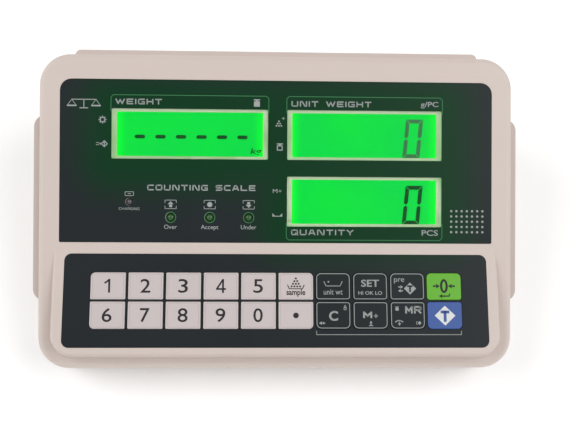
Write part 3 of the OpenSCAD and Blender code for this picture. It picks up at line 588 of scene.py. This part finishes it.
WIDE_LETTERS = {
    "A": [[(0, 0), (0.34, 1), (0.66, 1), (1, 0)], [(0.14, 0.3), (0.86, 0.3)]],
    "C": [[(1, 1), (0.12, 1), (0, 0.86), (0, 0.14), (0.12, 0), (1, 0)]],
    "E": [[(1, 0), (0, 0), (0, 1), (1, 1)], [(0, 0.5), (0.9, 0.5)]],
    "G": [[(1, 1), (0.12, 1), (0, 0.86), (0, 0.14), (0.12, 0), (1, 0), (1, 0.46), (0.6, 0.46)]],
    "H": [[(0, 0), (0, 1)], [(1, 0), (1, 1)], [(0, 0.5), (1, 0.5)]],
    "I": [[(0, 0), (0, 1)]],
    "L": [[(0, 1), (0, 0), (1, 0)]],
    "N": [[(0, 0), (0, 1), (0.3, 1), (0.75, 0), (1, 0), (1, 1)]],
    "O": [[(0.12, 0), (0, 0.14), (0, 0.86), (0.12, 1), (0.88, 1), (1, 0.86), (1, 0.14), (0.88, 0), (0.12, 0)]],
    "Q": [[(0.12, 0), (0, 0.14), (0, 0.86), (0.12, 1), (0.88, 1), (1, 0.86), (1, 0.14), (0.88, 0), (0.12, 0)],
          [(0.68, 0.32), (1.06, -0.08)]],
    "M": [[(0, 0), (0, 1), (0.5, 0.3), (1, 1), (1, 0)]],
    "R": [[(0, 0), (0, 1), (0.86, 1), (1, 0.88), (1, 0.58), (0.86, 0.46), (0, 0.46)], [(0.5, 0.46), (1, 0)]],
    "S": [[(0.98, 1), (0.12, 1), (0, 0.88), (0, 0.62), (0.12, 0.5), (0.88, 0.5), (1, 0.38), (1, 0.12), (0.88, 0),
           (0.02, 0)]],
    "T": [[(0, 1), (1, 1)], [(0.5, 1), (0.5, 0)]],
    "U": [[(0, 1), (0, 0.14), (0.12, 0), (0.88, 0), (1, 0.14), (1, 1)]],
    "W": [[(0, 1), (0.25, 0), (0.5, 0.9), (0.75, 0), (1, 1)]],
    "Y": [[(0, 1), (0.5, 0.48), (1, 1)], [(0.5, 0.5), (0.5, 0)]],
}
LETTER_SHARE = {"I": 0.0, "W": 1.45, "N": 1.1, " ": 0.62}
LETTER_SPACE = 0.52


def title(text, cap, at, width, line):
    """A title in wide stroke letters on its base line, from its left end."""
    shares = [LETTER_SHARE.get(letter, 1.0) for letter in text]
    unit = (width - line) / (sum(shares) + LETTER_SPACE * (len(text) - 1))
    x, shapes = at[0] + line / 2, []
    for letter, share in zip(text, shares):
        for path in WIDE_LETTERS.get(letter, ()):
            shapes += strokes([(x + u * share * unit, at[1] + line / 2 + v * (cap - line)) for u, v in path], line)
        x += (share + LETTER_SPACE) * unit
    return shapes


def lay(name, shapes, place, z, look, body=BODY):
    """Joins flat shapes, gives them ink thickness and lays them on a place, as one piece that rides on a body."""
    clear_selection()
    for shape in shapes:
        shape.select_set(True)
    bpy.context.view_layer.objects.active = shapes[0]
    if len(shapes) > 1:
        bpy.ops.object.join()
    piece = bpy.context.object
    piece.name = piece.data.name = name
    with edit_mode():
        bpy.ops.mesh.extrude_region_move(TRANSFORM_OT_translate={"value": (0, 0, sizes().ink_t)})
        bpy.ops.mesh.select_all(action="SELECT")
        bpy.ops.mesh.normals_make_consistent(inside=False)
    piece.data.transform(place @ Matrix.Diagonal((MM, MM, MM, 1)) @ Matrix.Translation((0, 0, z)))
    piece.data.materials.clear()
    piece.data.materials.append(material(look))
    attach(piece, body)


def print_panel(name, shapes, look="light_ink"):
    """Prints flat shapes on the display panel."""
    lay(name, shapes, FACE, PANEL_TOP, look)


# --- Symbols ---

def arrow(at, length, turn=0.0, head=0.5, line=0.25):
    """An arrow of a given length that points along +X before it is turned."""
    cosine, sine = math.cos(turn), math.sin(turn)
    back = -length / 2 + length * (1 - head) / 2
    front = length / 2 - length * head / 2
    return [
        bar(length * (1 - head), length * line, (at[0] + back * cosine, at[1] + back * sine), turn),
        disc(length * head * 0.667, (at[0] + front * cosine * 0.8, at[1] + front * sine * 0.8), 3,
             turn=turn - math.pi / 2)]


def pile(at, size, rows=3):
    """A pile of parts: rows of dots under each other."""
    return [
        disc(size * 0.11, (at[0] + (k - row / 2) * size * 0.30, at[1] + size * (0.30 - row * 0.28)), 8)
        for row in range(rows) for k in range(row + 1)]


def weight_block(at, size, hollow=False):
    """A test weight: a block with a knob on top."""
    line = size * 0.14 if hollow else 0.0
    return [
        bar(size * 0.8, size * 0.72, (at[0], at[1] - size * 0.14), radii=(size * 0.1,) * 4, line=line),
        bar(size * 0.86, size * 0.15, (at[0], at[1] + size * 0.42)),
        bar(size * 0.34, size * 0.16, (at[0], at[1] + size * 0.29))]


def dish(at, w, h, line):
    """A weighing dish seen from the side."""
    x, y = w / 2, h / 2
    return strokes([(at[0] - x, at[1] + y), (at[0] - x * 0.78, at[1] - y),
                    (at[0] + x * 0.78, at[1] - y), (at[0] + x, at[1] + y)], line)


def tare_sign(at, w, h):
    return [disc(w / 2, at, 4, stretch=(1, h / w))]


def tee(at, w, h, line):
    return [bar(w, line, (at[0], at[1] + h / 2 - line / 2)), bar(line, h, at)]


# --- Prints on the display panel ---

WINDOWS = {"weight": (-45.5, 28.15), "unit_weight": (45.5, 28.15), "quantity": (45.5, 62.85)}
WINDOW_W, WINDOW_H = 81.0, 26.0
TITLE_H = 7.0
LAMPS = ((-55.3, "Over"), (-35.1, "Accept"), (-14.9, "Under"))
LAMP_DOWN = 71.4
CHARGE_AT = (-76.6, 63.5)


def panel_titles():
    cap, line = sizes().title_h, sizes().title_line
    print_panel("display_titles", [
        *title("WEIGHT", cap, (-84.0, -13.05), 23.9, line),
        *title("UNIT WEIGHT", cap, (7.1, -13.4), 41.8, line),
        *title("QUANTITY", cap, (7.2, -80.35), 32.6, line),
        words("g/PC", 2.7, (84.2, -12.8), 9.4, right=True, bold=0.06),
        words("PCS", 3.0, (84.2, -80.3), 8.6, right=True, bold=0.06),
        *title("COUNTING SCALE", cap, (-67.4, -57.5), 56.0, line),
        *weight_block((-10.9, -11.7), 3.9),
    ])


def panel_lines():
    """Thin lines round each display's title, which end at its window."""
    line = sizes().box_line
    shapes = []
    for name, (x, down) in WINDOWS.items():
        side = -1 if name == "quantity" else 1
        edge, near = WINDOW_W / 2 + 0.3, -down + side * (WINDOW_H / 2 - 1.5)
        far = -down + side * (WINDOW_H / 2 + TITLE_H)
        shapes += strokes([(x - edge, near), (x - edge, far - side * 1.2), (x - edge + 1.2, far),
                           (x + edge - 1.2, far), (x + edge, far - side * 1.2), (x + edge, near)], line)
    print_panel("display_title_lines", shapes, "green_ink")


def panel_symbols():
    """Small status symbols beside the displays, and plain marks in the two outer corners."""
    line = 0.3
    x, y = -90.6, -21.1
    shapes = [disc(1.45, (x, y), 20, line=0.5)]
    for k in range(8):
        turn = k * math.pi / 4
        shapes.append(bar(0.5, 0.6, (x + 1.75 * math.cos(turn), y + 1.75 * math.sin(turn)), turn))
    x, y = -89.6, -33.55
    shapes += [bar(1.5, line, (x - 3.5, y + 0.55)), bar(1.5, line, (x - 3.5, y - 0.55)),
               *arrow((x - 2, y), 1.5, head=0.7), disc(1.85, (x, y), 4, line=0.45),
               bar(0.5, 1.7, (x, y - 0.15)), bar(1.3, 0.4, (x, y + 0.65))]
    shapes += pile((0.6, -22.4), 4.2)
    shapes += [bar(1.5, line, (2.9, -19.6)), bar(line, 1.5, (2.9, -19.6))]
    shapes += weight_block((1.1, -34.5), 3.8, hollow=True)
    shapes += [words("M+", 2.2, (-0.1, -58.5), 4.6)]
    shapes += [bar(1.7, 1.7, (-1.7, -69.9), radii=(1.66, 0, 0, 0), steps=1),
               bar(1.7, 1.7, (1.7, -69.9), radii=(0, 1.66, 0, 0), steps=1), bar(2.6, 0.4, (0, -70.55))]
    print_panel("display_symbols", shapes)
    x, y = -100.2, -12.6
    shapes = [bar(0.45, 4.6, (x, y - 0.2)), bar(4.4, 0.5, (x, y - 2.5)), bar(13.0, 0.45, (x, y + 1.9))]
    for hook in (x - 6.2, x + 6.2):
        shapes += strokes([(hook - 2.1, y - 1.0), (hook, y + 1.9), (hook + 2.1, y - 1.0)], 0.28)
        shapes.append(bar(5.0, 0.75, (hook, y - 1.3), radii=(0.1, 0.1, 0.35, 0.35)))
    print_panel("corner_balance_mark", shapes)
    pitch = 2.75
    print_panel("corner_dot_mark", [
        disc(0.62, (91.2 + pitch * column, -67.4 - pitch * row), 12) for row in range(5) for column in range(7)])


def lamp_marks():
    """Boxed signs above the status lamps, their names below, and the charging lamp's marks."""
    shapes = []
    up = -LAMP_DOWN + 6.7
    for x, name in LAMPS:
        for side in (-1, 1):
            corner = [(x - 2.9, up + side * 0.9), (x - 2.9, up + side * 2.2),
                      (x + 2.9, up + side * 2.2), (x + 2.9, up + side * 0.9)]
            shapes += strokes(corner, 0.3)
        shapes.append(words(name, 2.3, (x, -LAMP_DOWN - 6.0), bold=0.03))
    for x, side in ((LAMPS[0][0], 1), (LAMPS[2][0], -1)):
        shapes += [disc(1.75, (x, up + side * 0.55), 3, turn=(1 - side) * math.pi / 2, stretch=(1, 0.62)),
                   bar(1.5, 1.3, (x, up - side * 0.8))]
    shapes.append(disc(1.35, (LAMPS[1][0], up), 20))
    x, down = CHARGE_AT
    shapes += [bar(4.7, 2.3, (x, -down + 4.2), radii=(0.5,) * 4, line=0.3), bar(1.5, 0.35, (x, -down + 4.2)),
               *title("CHARGING", 1.25, (x - 5.3, -down - 4.2), 10.6, 0.2)]
    print_panel("lamp_marks", shapes)


def lamp_rings():
    """Pale edges of the lamp holes."""
    shapes = [disc(2.86, (x, -LAMP_DOWN), 40, line=0.36) for x, _ in LAMPS]
    print_panel("status_lamp_rings", shapes, "green_ink")
    x, down = CHARGE_AT
    print_panel("charging_lamp_ring", [disc(2.32, (x, -down), 40, line=0.3)], "dark_ink")


# --- Display segments ---

SLANT = math.radians(5.5)
UNIT_SLANT = math.radians(12)
DASH_PITCH = 10.66


def segment(length, t, at, turn, ends):
    """One display segment. Ends: how far each corner is cut off, from the top right round to the bottom right."""
    return bar(length, t, at, turn, radii=ends, steps=1)


def zero_digit(at):
    """The figure zero of a seven segment display, mitred at its corners and pointed at its waist."""
    w, h, t = sizes().segment_w, sizes().segment_h, sizes().segment_t
    corner, waist = 0.24, 0.55
    mitre, point = t * 0.97, t * 0.42
    long, rise = h / 2 - corner - waist / 2, (h / 2 - corner + waist / 2) / 2
    shapes = [segment(w - 2 * corner, t, (0, (h - t) / 2), 0, (0, 0, mitre, mitre)),
              segment(w - 2 * corner, t, (0, (t - h) / 2), math.pi, (0, 0, mitre, mitre))]
    for side in (-1, 1):
        for up in (-1, 1):
            ends = (0, point, point, mitre) if side * up < 0 else (point, 0, mitre, point)
            shapes.append(segment(long, t, (side * (w - t) / 2, up * rise), -side * math.pi / 2, ends))
    for shape in shapes:
        shape.data.transform(Matrix.Translation((at[0], at[1], 0)) @ lean(SLANT))
    return shapes


def window_point(name, right, below):
    """A point of a window, from its top left corner."""
    x, down = WINDOWS[name]
    return x - WINDOW_W / 2 + right, -(down - WINDOW_H / 2 + below)


def display_segments():
    z = LCD_TOP + 0.02
    lay("weight_dashes", [
        bar(5.5, 1.95, window_point("weight", 14.35 + DASH_PITCH * k, 14.3), radii=(0.95,) * 4, steps=2)
        for k in range(6)], FACE, z, "segment_dark")
    lay("weight_unit", [
        words("kg", 3.0, window_point("weight", 74.6, 22.8), 5.4, bold=0.06, slant=UNIT_SLANT)],
        FACE, z, "segment_dark")
    lay("unit_weight_digit", zero_digit(window_point("unit_weight", 66.2, 14.3)), FACE, z, "segment_pale")
    lay("quantity_digit", zero_digit(window_point("quantity", 66.1, 14.5)), FACE, z, "segment_dark")


# --- Key legends ---

def legend(key, suffix, shapes, look, lift=0.0):
    """Prints shapes about the middle of a key's top, as a piece that rides on the key."""
    centre = middle(key, PAD)
    place = PAD @ Matrix.Translation((centre.x * MM, centre.y * MM, 0))
    lay(f"{key}_{suffix}", shapes, place, centre.z + lift, look, key)


def key_lines():
    """Light line round each dark key, and a line of painted shade along the raised rim of each white key."""
    line = sizes().key_line
    for row, names in enumerate(KEYS):
        for name in names:
            if name in DARK_KEYS:
                radii = [2.4 if (row == 0) == (k < 2) else 1.3 for k in range(4)]
                legend(name, "line", [bar(17.3, 13.4, radii=radii, line=line)], "light_ink")
            elif name not in ("key_zero", "key_tare"):
                # Painted shade: a darker line where each white key's raised edge is shaded.
                legend(name, "rim", [bar(16.2, 12.5, radii=(0.6,) * 4, line=0.25)], "rim_shade_ink")


DIGIT_WIDTH = {"2": 5.1, "3": 4.9, "5": 4.9, "6": 5.0, "7": 4.9, "8": 5.1, "9": 5.0, "0": 4.8}


def digit_legends():
    cap = sizes().digit_h
    for digit, width in DIGIT_WIDTH.items():
        legend(f"key_{digit}", "digit",
               [words(digit, cap, (-0.2, -cap / 2), width, bold=sizes().digit_bold, exact=True)], "dark_ink")
    legend("key_1", "digit", [
        bar(1.0, cap, (0.6, 0)), stroke((-1.5, cap / 2 - 2.0), (0.45, cap / 2 - 0.55), 0.9)], "dark_ink")
    legend("key_4", "digit", [
        bar(0.95, cap, (1.0, 0)), bar(5.0, 0.9, (0, 2.0 - cap / 2)),
        stroke((-2.15, 2.1 - cap / 2), (0.85, cap / 2 - 0.4), 0.85)], "dark_ink")
    legend("key_point", "dot", [disc(1.45, (0, -0.1), 28)], "dark_ink")
    legend("key_sample", "sign", [
        *pile((0, 2.5), 4.9, 4), *dish((0, -0.4), 8.6, 1.9, 0.45),
        words("sample", 3.0, (0, -4.5), 9.7, bold=0.09)], "dark_ink")


def function_legends():
    thin, bold = 0.03, 0.13
    legend("key_unit_weight", "sign", [
        *dish((0, 1.3), 9.4, 2.3, 0.38), disc(0.45, (-2.4, 2.3), 10),
        words("unit wt", 3.1, (0, -4.3), 9.8, bold=thin)], "light_ink")
    legend("key_set", "sign", [
        words("SET", 3.8, (0, -0.3), 9.4, bold=bold, exact=True),
        words("HI OK LO", 1.9, (0, -4.4), 12.4, bold=0.05, exact=True)], "light_ink")
    legend("key_preset_tare", "sign", [
        words("pre", 2.9, (-4.1, 2.4), 5.4, bold=thin), *arrow((-3.4, -0.3), 2.4, head=0.6),
        *arrow((-3.4, -2.3), 2.4, math.pi, head=0.6), *tare_sign((1.5, -1.1), 6.4, 6.2)], "light_ink")
    legend("key_preset_tare", "tee", tee((1.5, -1.2), 2.9, 3.5, 0.85), "key_dark", lift=0.03)
    legend("key_clear", "sign", [
        words("C", 5.2, (0.1, -2.9), 4.7, bold=0.22, exact=True), bar(1.4, 1.3, (6.1, 3.4), line=0.28),
        disc(0.95, (6.1, 4.5), 3, line=0.25), *arrow((-6.3, -4.0), 1.9, math.pi, head=0.8),
        *arrow((-5.0, -4.0), 1.6, math.pi, head=0.8)], "light_ink")
    legend("key_memory_add", "sign", [
        *title("M", 3.5, (-3.9, -1.5), 4.7, 0.95), bar(2.1, 0.45, (2.7, -0.3)),
        bar(0.45, 2.1, (2.7, -0.3)), *arrow((0.1, -4.0), 2.2, math.pi / 2, head=0.6), bar(2.2, 0.35, (0.1, -5.3))],
        "light_ink")
    legend("key_memory_recall", "sign", [
        *title("MR", 3.9, (-1.3, 0.9), 8.4, 0.85), *weight_block((-5.5, 3.5), 2.1),
        *strokes([(-6.4, -3.4), (-5.4, -2.7), (-3.9, -2.7), (-2.7, -3.3)], 0.55),
        *arrow((-4.4, -4.3), 1.9, -math.pi / 2, head=0.7), disc(1.0, (6.0, -3.9), 4),
        *strokes([(4.7, -3.1), (4.3, -3.9), (4.7, -4.7)], 0.3)], "light_ink")
    legend("key_zero", "sign", [
        disc(3.65, (0, 0.2), 40, line=1.15, stretch=(0.56, 1.0)), *arrow((-4.0, 0.2), 3.4, head=0.6, line=0.27),
        *arrow((4.0, 0.2), 3.4, math.pi, head=0.6, line=0.27), *arrow((-1.1, -5.0), 3.0, math.pi, head=0.6),
        *strokes([(0.2, -5.0), (2.5, -5.0), (2.9, -3.9)], 0.6)], "dark_ink")
    legend("key_tare", "sign", tare_sign((0.1, -0.1), 10.8, 10.2), "bright_ink")
    legend("key_tare", "tee", tee((0.1, -0.4), 4.5, 5.8, 1.5), "key_blue", lift=0.03)


def pad_bracket():
    """Line below the function keys."""
    low, _ = local_box("key_clear", PAD)
    _, high = local_box("key_tare", PAD)
    left, right, down = low.x + 0.7, high.x - 0.9, low.y - 2.5
    lay("keypad_bracket_line", [
        *strokes([(left, down + 1.8), (left, down), (right, down), (right, down + 1.8)], 0.32)],
        PAD, PANEL_TOP, "light_ink")


# --- Back wall ---

BACK_Y, BACK_Z = 71.519, 25.0
SERIAL_X, INLET_X, ROCKER_X = -30.0, 4.0, 36.0
SIGN_DOWN = 10.0
ROCKER_PIVOT_IN, ROCKER_RISE, ROCKER_TILT = 2.0, 3.2, math.radians(10)


def back_place(x, up=0.0):
    """A frame on the back wall's pocket, seen from behind."""
    return (Matrix.Translation((x * MM, BACK_Y * MM, (BACK_Z + up) * MM)) @ Matrix.Rotation(math.pi, 4, "Z")
            @ Matrix.Rotation(math.pi / 2, 4, "X"))


def back_marks():
    """Plain signs below the sockets: data both ways, and the inlet's poles."""
    lay("data_mark", [
        *arrow((0, 0.9), 5.5, head=0.35, line=0.1), *arrow((0, -0.9), 5.5, math.pi, head=0.35, line=0.1)],
        back_place(SERIAL_X, -SIGN_DOWN), 0, "grey_ink")
    poles = [stroke((-2.2, 0), (-0.9, 0), 0.3), stroke((0.2, 0), (2.2, 0), 0.3), disc(0.45, (0, 0), 12)]
    for side in (-1, 1):
        poles += [disc(1.15, (side * 3.3, 0), 20, line=0.25), bar(1.2, 0.25, (side * 3.3, 0))]
    cup = [(0.6, 0.9), (-0.5, 0.8), (-1.0, 0), (-0.5, -0.8), (0.6, -0.9)]
    poles += [bar(0.25, 1.2, (3.3, 0)), *strokes(cup, 0.25)]
    lay("inlet_poles_mark", poles, back_place(INLET_X, -SIGN_DOWN), 0, "grey_ink")


def rocker_marks():
    """The line and the ring on the two halves of the power rocker."""
    rocker = (back_place(ROCKER_X) @ Matrix.Translation((0, 0, -ROCKER_PIVOT_IN * MM))
              @ Matrix.Rotation(ROCKER_TILT, 4, "X") @ Matrix.Translation((0, 0, ROCKER_RISE * MM)))
    for name, side in (("line", 1), ("ring", -1)):
        half = rocker @ Matrix.Rotation(side * ROCKER_TILT, 4, "X") @ Matrix.Translation((0, side * 4.4 * MM, 0))
        shape = bar(0.7, 3.6) if name == "line" else disc(1.9, sides=28, line=0.6)
        lay(f"rocker_{name}_mark", [shape], half, 0, "bright_ink", "power_rocker")


# --- CAD nodes ---

CAD_LOOKS = {node: look for look, nodes in {
    "shell": "front_shell rear_shell",
    "panel": "display_overlay keypad_overlay",
    "window": "display_windows",
    "lcd": "lcd_weight lcd_unit_weight lcd_quantity",
    "light_box": "backlights",
    "lamp_green": "status_lamps",
    "lamp_dark": "charging_lamp",
    "board": "display_board keypad_board main_board",
    "dark_plastic": "key_switches board_parts buzzer socket_inserts power_inlet power_switch",
    "ribbon": "display_ribbon keypad_ribbon",
    "battery": "battery",
    "lead": "battery_leads",
    "zinc": "battery_strap case_screws board_screws",
    "nickel": "loadcell_socket loadcell_nut serial_socket serial_posts",
    "gloss_black": "power_rocker",
    "brass": "bracket_inserts",
    "rubber": "feet",
    "key_green": "key_zero",
    "key_blue": "key_tare",
}.items() for node in nodes.split()}
SOFT_EDGES = {
    "front_shell": 0.35, "rear_shell": 0.35, "loadcell_socket": 0.25, "power_inlet": 0.2,
    "power_switch": 0.25, "power_rocker": 0.3, "serial_socket": 0.12, "feet": 0.2,
}
KEY_EDGE = 0.28
WELD_WITHIN = 2e-6
FLAT_WITHIN, SHARP_FROM = math.radians(0.5), math.radians(40)


def soften(node, width):
    """Rounds a CAD node's sharp edges with live modifiers; its own mesh stays as it is."""
    weld = node.modifiers.new("Weld", "WELD")
    weld.merge_threshold = WELD_WITHIN
    flat = node.modifiers.new("Flat Faces", "DECIMATE")
    flat.decimate_type = "DISSOLVE"
    flat.angle_limit = FLAT_WITHIN
    edge = node.modifiers.new("Soft Edge", "BEVEL")
    edge.width = width * MM
    edge.segments = 2
    edge.limit_method = "ANGLE"
    edge.angle_limit = SHARP_FROM
    edge.harden_normals = False


class IndicatorOperator(bpy.types.Operator):
    bl_options = {"REGISTER", "UNDO"}


class OBJECT_OT_indicator_finishes(IndicatorOperator):
    """Gives every CAD node its finish and softens the edges that show"""

    bl_idname = "object.indicator_finishes"
    bl_label = "Finish Housing and Parts"

    def execute(self, context):
        for name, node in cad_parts.items():
            look = CAD_LOOKS.get(name, "key_dark" if name in DARK_KEYS else "key_white")
            node.data.materials.clear()
            node.data.materials.append(material(look))
            width = KEY_EDGE if name.startswith("key_") and name != "key_switches" else SOFT_EDGES.get(name, 0)
            if width:
                soften(node, width)
        return {"FINISHED"}


class OBJECT_OT_indicator_panel_prints(IndicatorOperator):
    """Prints titles, lines and symbols on the display panel"""

    bl_idname = "object.indicator_panel_prints"
    bl_label = "Print Display Panel"

    def execute(self, context):
        panel_lines()
        panel_titles()
        panel_symbols()
        lamp_marks()
        lamp_rings()
        return {"FINISHED"}


class OBJECT_OT_indicator_segments(IndicatorOperator):
    """Draws the dark segments of the three displays"""

    bl_idname = "object.indicator_segments"
    bl_label = "Show Display Segments"

    def execute(self, context):
        display_segments()
        return {"FINISHED"}


class OBJECT_OT_indicator_key_prints(IndicatorOperator):
    """Prints the keys' legends and lines, and the line below the function keys"""

    bl_idname = "object.indicator_key_prints"
    bl_label = "Print Keys"

    def execute(self, context):
        key_lines()
        digit_legends()
        function_legends()
        pad_bracket()
        return {"FINISHED"}


class OBJECT_OT_indicator_back_prints(IndicatorOperator):
    """Prints the signs on the back wall and the power rocker"""

    bl_idname = "object.indicator_back_prints"
    bl_label = "Print Back Wall"

    def execute(self, context):
        back_marks()
        rocker_marks()
        return {"FINISHED"}


class OBJECT_OT_indicator_stage(IndicatorOperator):
    """Builds the camera, the pale floor and the soft studio light"""

    bl_idname = "object.indicator_stage"
    bl_label = "Set Studio Stage"

    def execute(self, context):
        stage = context.scene.indicator_stage
        camera_and_lens(context, stage)
        floor_sheet(stage)
        studio_light(context, stage)
        return {"FINISHED"}


# --- Stage ---

CAMERA_AT = (-15.58, -74.33, 500.03)
CAMERA_PITCH = math.radians(0.45)
CAMERA_YAW = math.radians(-2.45)
CAMERA_ROLL = math.radians(0.31)
SENSOR = 36


def camera_and_lens(context, stage):
    """Camera square to the face, a little left of its middle."""
    data = bpy.data.cameras.new("Studio Camera")
    data.lens = stage.lens
    data.sensor_width = SENSOR
    camera = bpy.data.objects.new("Studio Camera", data)
    context.scene.collection.objects.link(camera)
    turn = (Matrix.Rotation(CAMERA_PITCH, 4, "X") @ Matrix.Rotation(CAMERA_YAW, 4, "Y")
            @ Matrix.Rotation(CAMERA_ROLL, 4, "Z"))
    camera.matrix_world = FACE @ Matrix.Translation([v * MM for v in CAMERA_AT]) @ turn
    context.scene.camera = camera


def floor_sheet(stage):
    """Wide pale floor whose edge curves up all round."""
    clear_selection()
    flat, curve, steps = stage.floor / 2, stage.floor / 6, 8
    bpy.ops.mesh.primitive_circle_add(vertices=96, radius=flat, fill_type="NGON")
    floor = bpy.context.object
    floor.name = "studio_floor"
    with edit_mode():
        radius, step = flat, math.pi / 2 / steps
        for k in range(1, steps + 1):
            wide = flat + curve * math.sin(k * step)
            rise = curve * (math.cos((k - 1) * step) - math.cos(k * step))
            bpy.ops.mesh.extrude_region_move(TRANSFORM_OT_translate={"value": (0, 0, rise)})
            bpy.ops.transform.resize(value=(wide / radius, wide / radius, 1), center_override=(0, 0, 0))
            radius = wide
        bpy.ops.mesh.delete(type="ONLY_FACE")
    bpy.ops.object.shade_smooth()
    floor.data.materials.append(material("floor"))


# Name, the setting of its power, width and height, and place of each softbox, in metres
SOFTBOXES = (
    ("softbox_left", "key_light", (1.4, 1.4), (-1.35, 0.25, 1.35)),
    ("softbox_right", "side_light", (1.4, 1.4), (1.1, -0.05, 1.5)),
    ("softbox_front", "front_light", (2.4, 0.9), (0, -1.7, 0.75)),
)


def soft_light(context, name, power, size, at):
    """A rectangular light that shines at the origin."""
    data = bpy.data.lights.new(name, "AREA")
    data.energy = power
    data.shape = "RECTANGLE"
    data.size, data.size_y = size
    light = bpy.data.objects.new(name, data)
    context.scene.collection.objects.link(light)
    light.location = at
    light.rotation_euler = (Vector() - Vector(at)).to_track_quat("-Z", "Y").to_euler()


def studio_light(context, stage):
    """Plain surroundings and the softboxes, all clear of what the panels mirror to the camera."""
    world = bpy.data.worlds.new("Studio")
    world.use_nodes = True
    sky = world.node_tree.nodes["Background"]
    sky.inputs["Color"].default_value = (1, 1, 1, 1)
    sky.inputs["Strength"].default_value = stage.sky
    context.scene.world = world
    for name, setting, size, at in SOFTBOXES:
        soft_light(context, name, getattr(stage, setting), size, at)
    context.scene.view_settings.view_transform = "Standard"


class VIEW3D_PT_indicator(bpy.types.Panel):
    """Lists the indicator's operators"""

    bl_label = "Counting Scale Indicator"
    bl_space_type = "VIEW_3D"
    bl_region_type = "UI"
    bl_category = "Indicator"

    def draw(self, context):
        for operator in OPERATORS:
            self.layout.operator(operator.bl_idname)


OPERATORS = (
    OBJECT_OT_indicator_stage,
    OBJECT_OT_indicator_finishes,
    OBJECT_OT_indicator_panel_prints,
    OBJECT_OT_indicator_segments,
    OBJECT_OT_indicator_key_prints,
    OBJECT_OT_indicator_back_prints,
)
SETTINGS = {
    "indicator_finish": FinishSettings,
    "indicator_prints": PrintSettings,
    "indicator_stage": StageSettings,
}


def register():
    for group in SETTINGS.values():
        bpy.utils.register_class(group)
    for name, group in SETTINGS.items():
        setattr(bpy.types.Scene, name, bpy.props.PointerProperty(type=group))
    for operator in OPERATORS:
        bpy.utils.register_class(operator)
    bpy.utils.register_class(VIEW3D_PT_indicator)


def unregister():
    bpy.utils.unregister_class(VIEW3D_PT_indicator)
    for operator in reversed(OPERATORS):
        bpy.utils.unregister_class(operator)
    for name in SETTINGS:
        delattr(bpy.types.Scene, name)
    for group in reversed(list(SETTINGS.values())):
        bpy.utils.unregister_class(group)


def main():
    register()
    bpy.ops.object.indicator_stage()
    bpy.ops.object.indicator_finishes()
    bpy.ops.object.indicator_panel_prints()
    bpy.ops.object.indicator_segments()
    bpy.ops.object.indicator_key_prints()
    bpy.ops.object.indicator_back_prints()


if __name__ == "__main__":
    main()
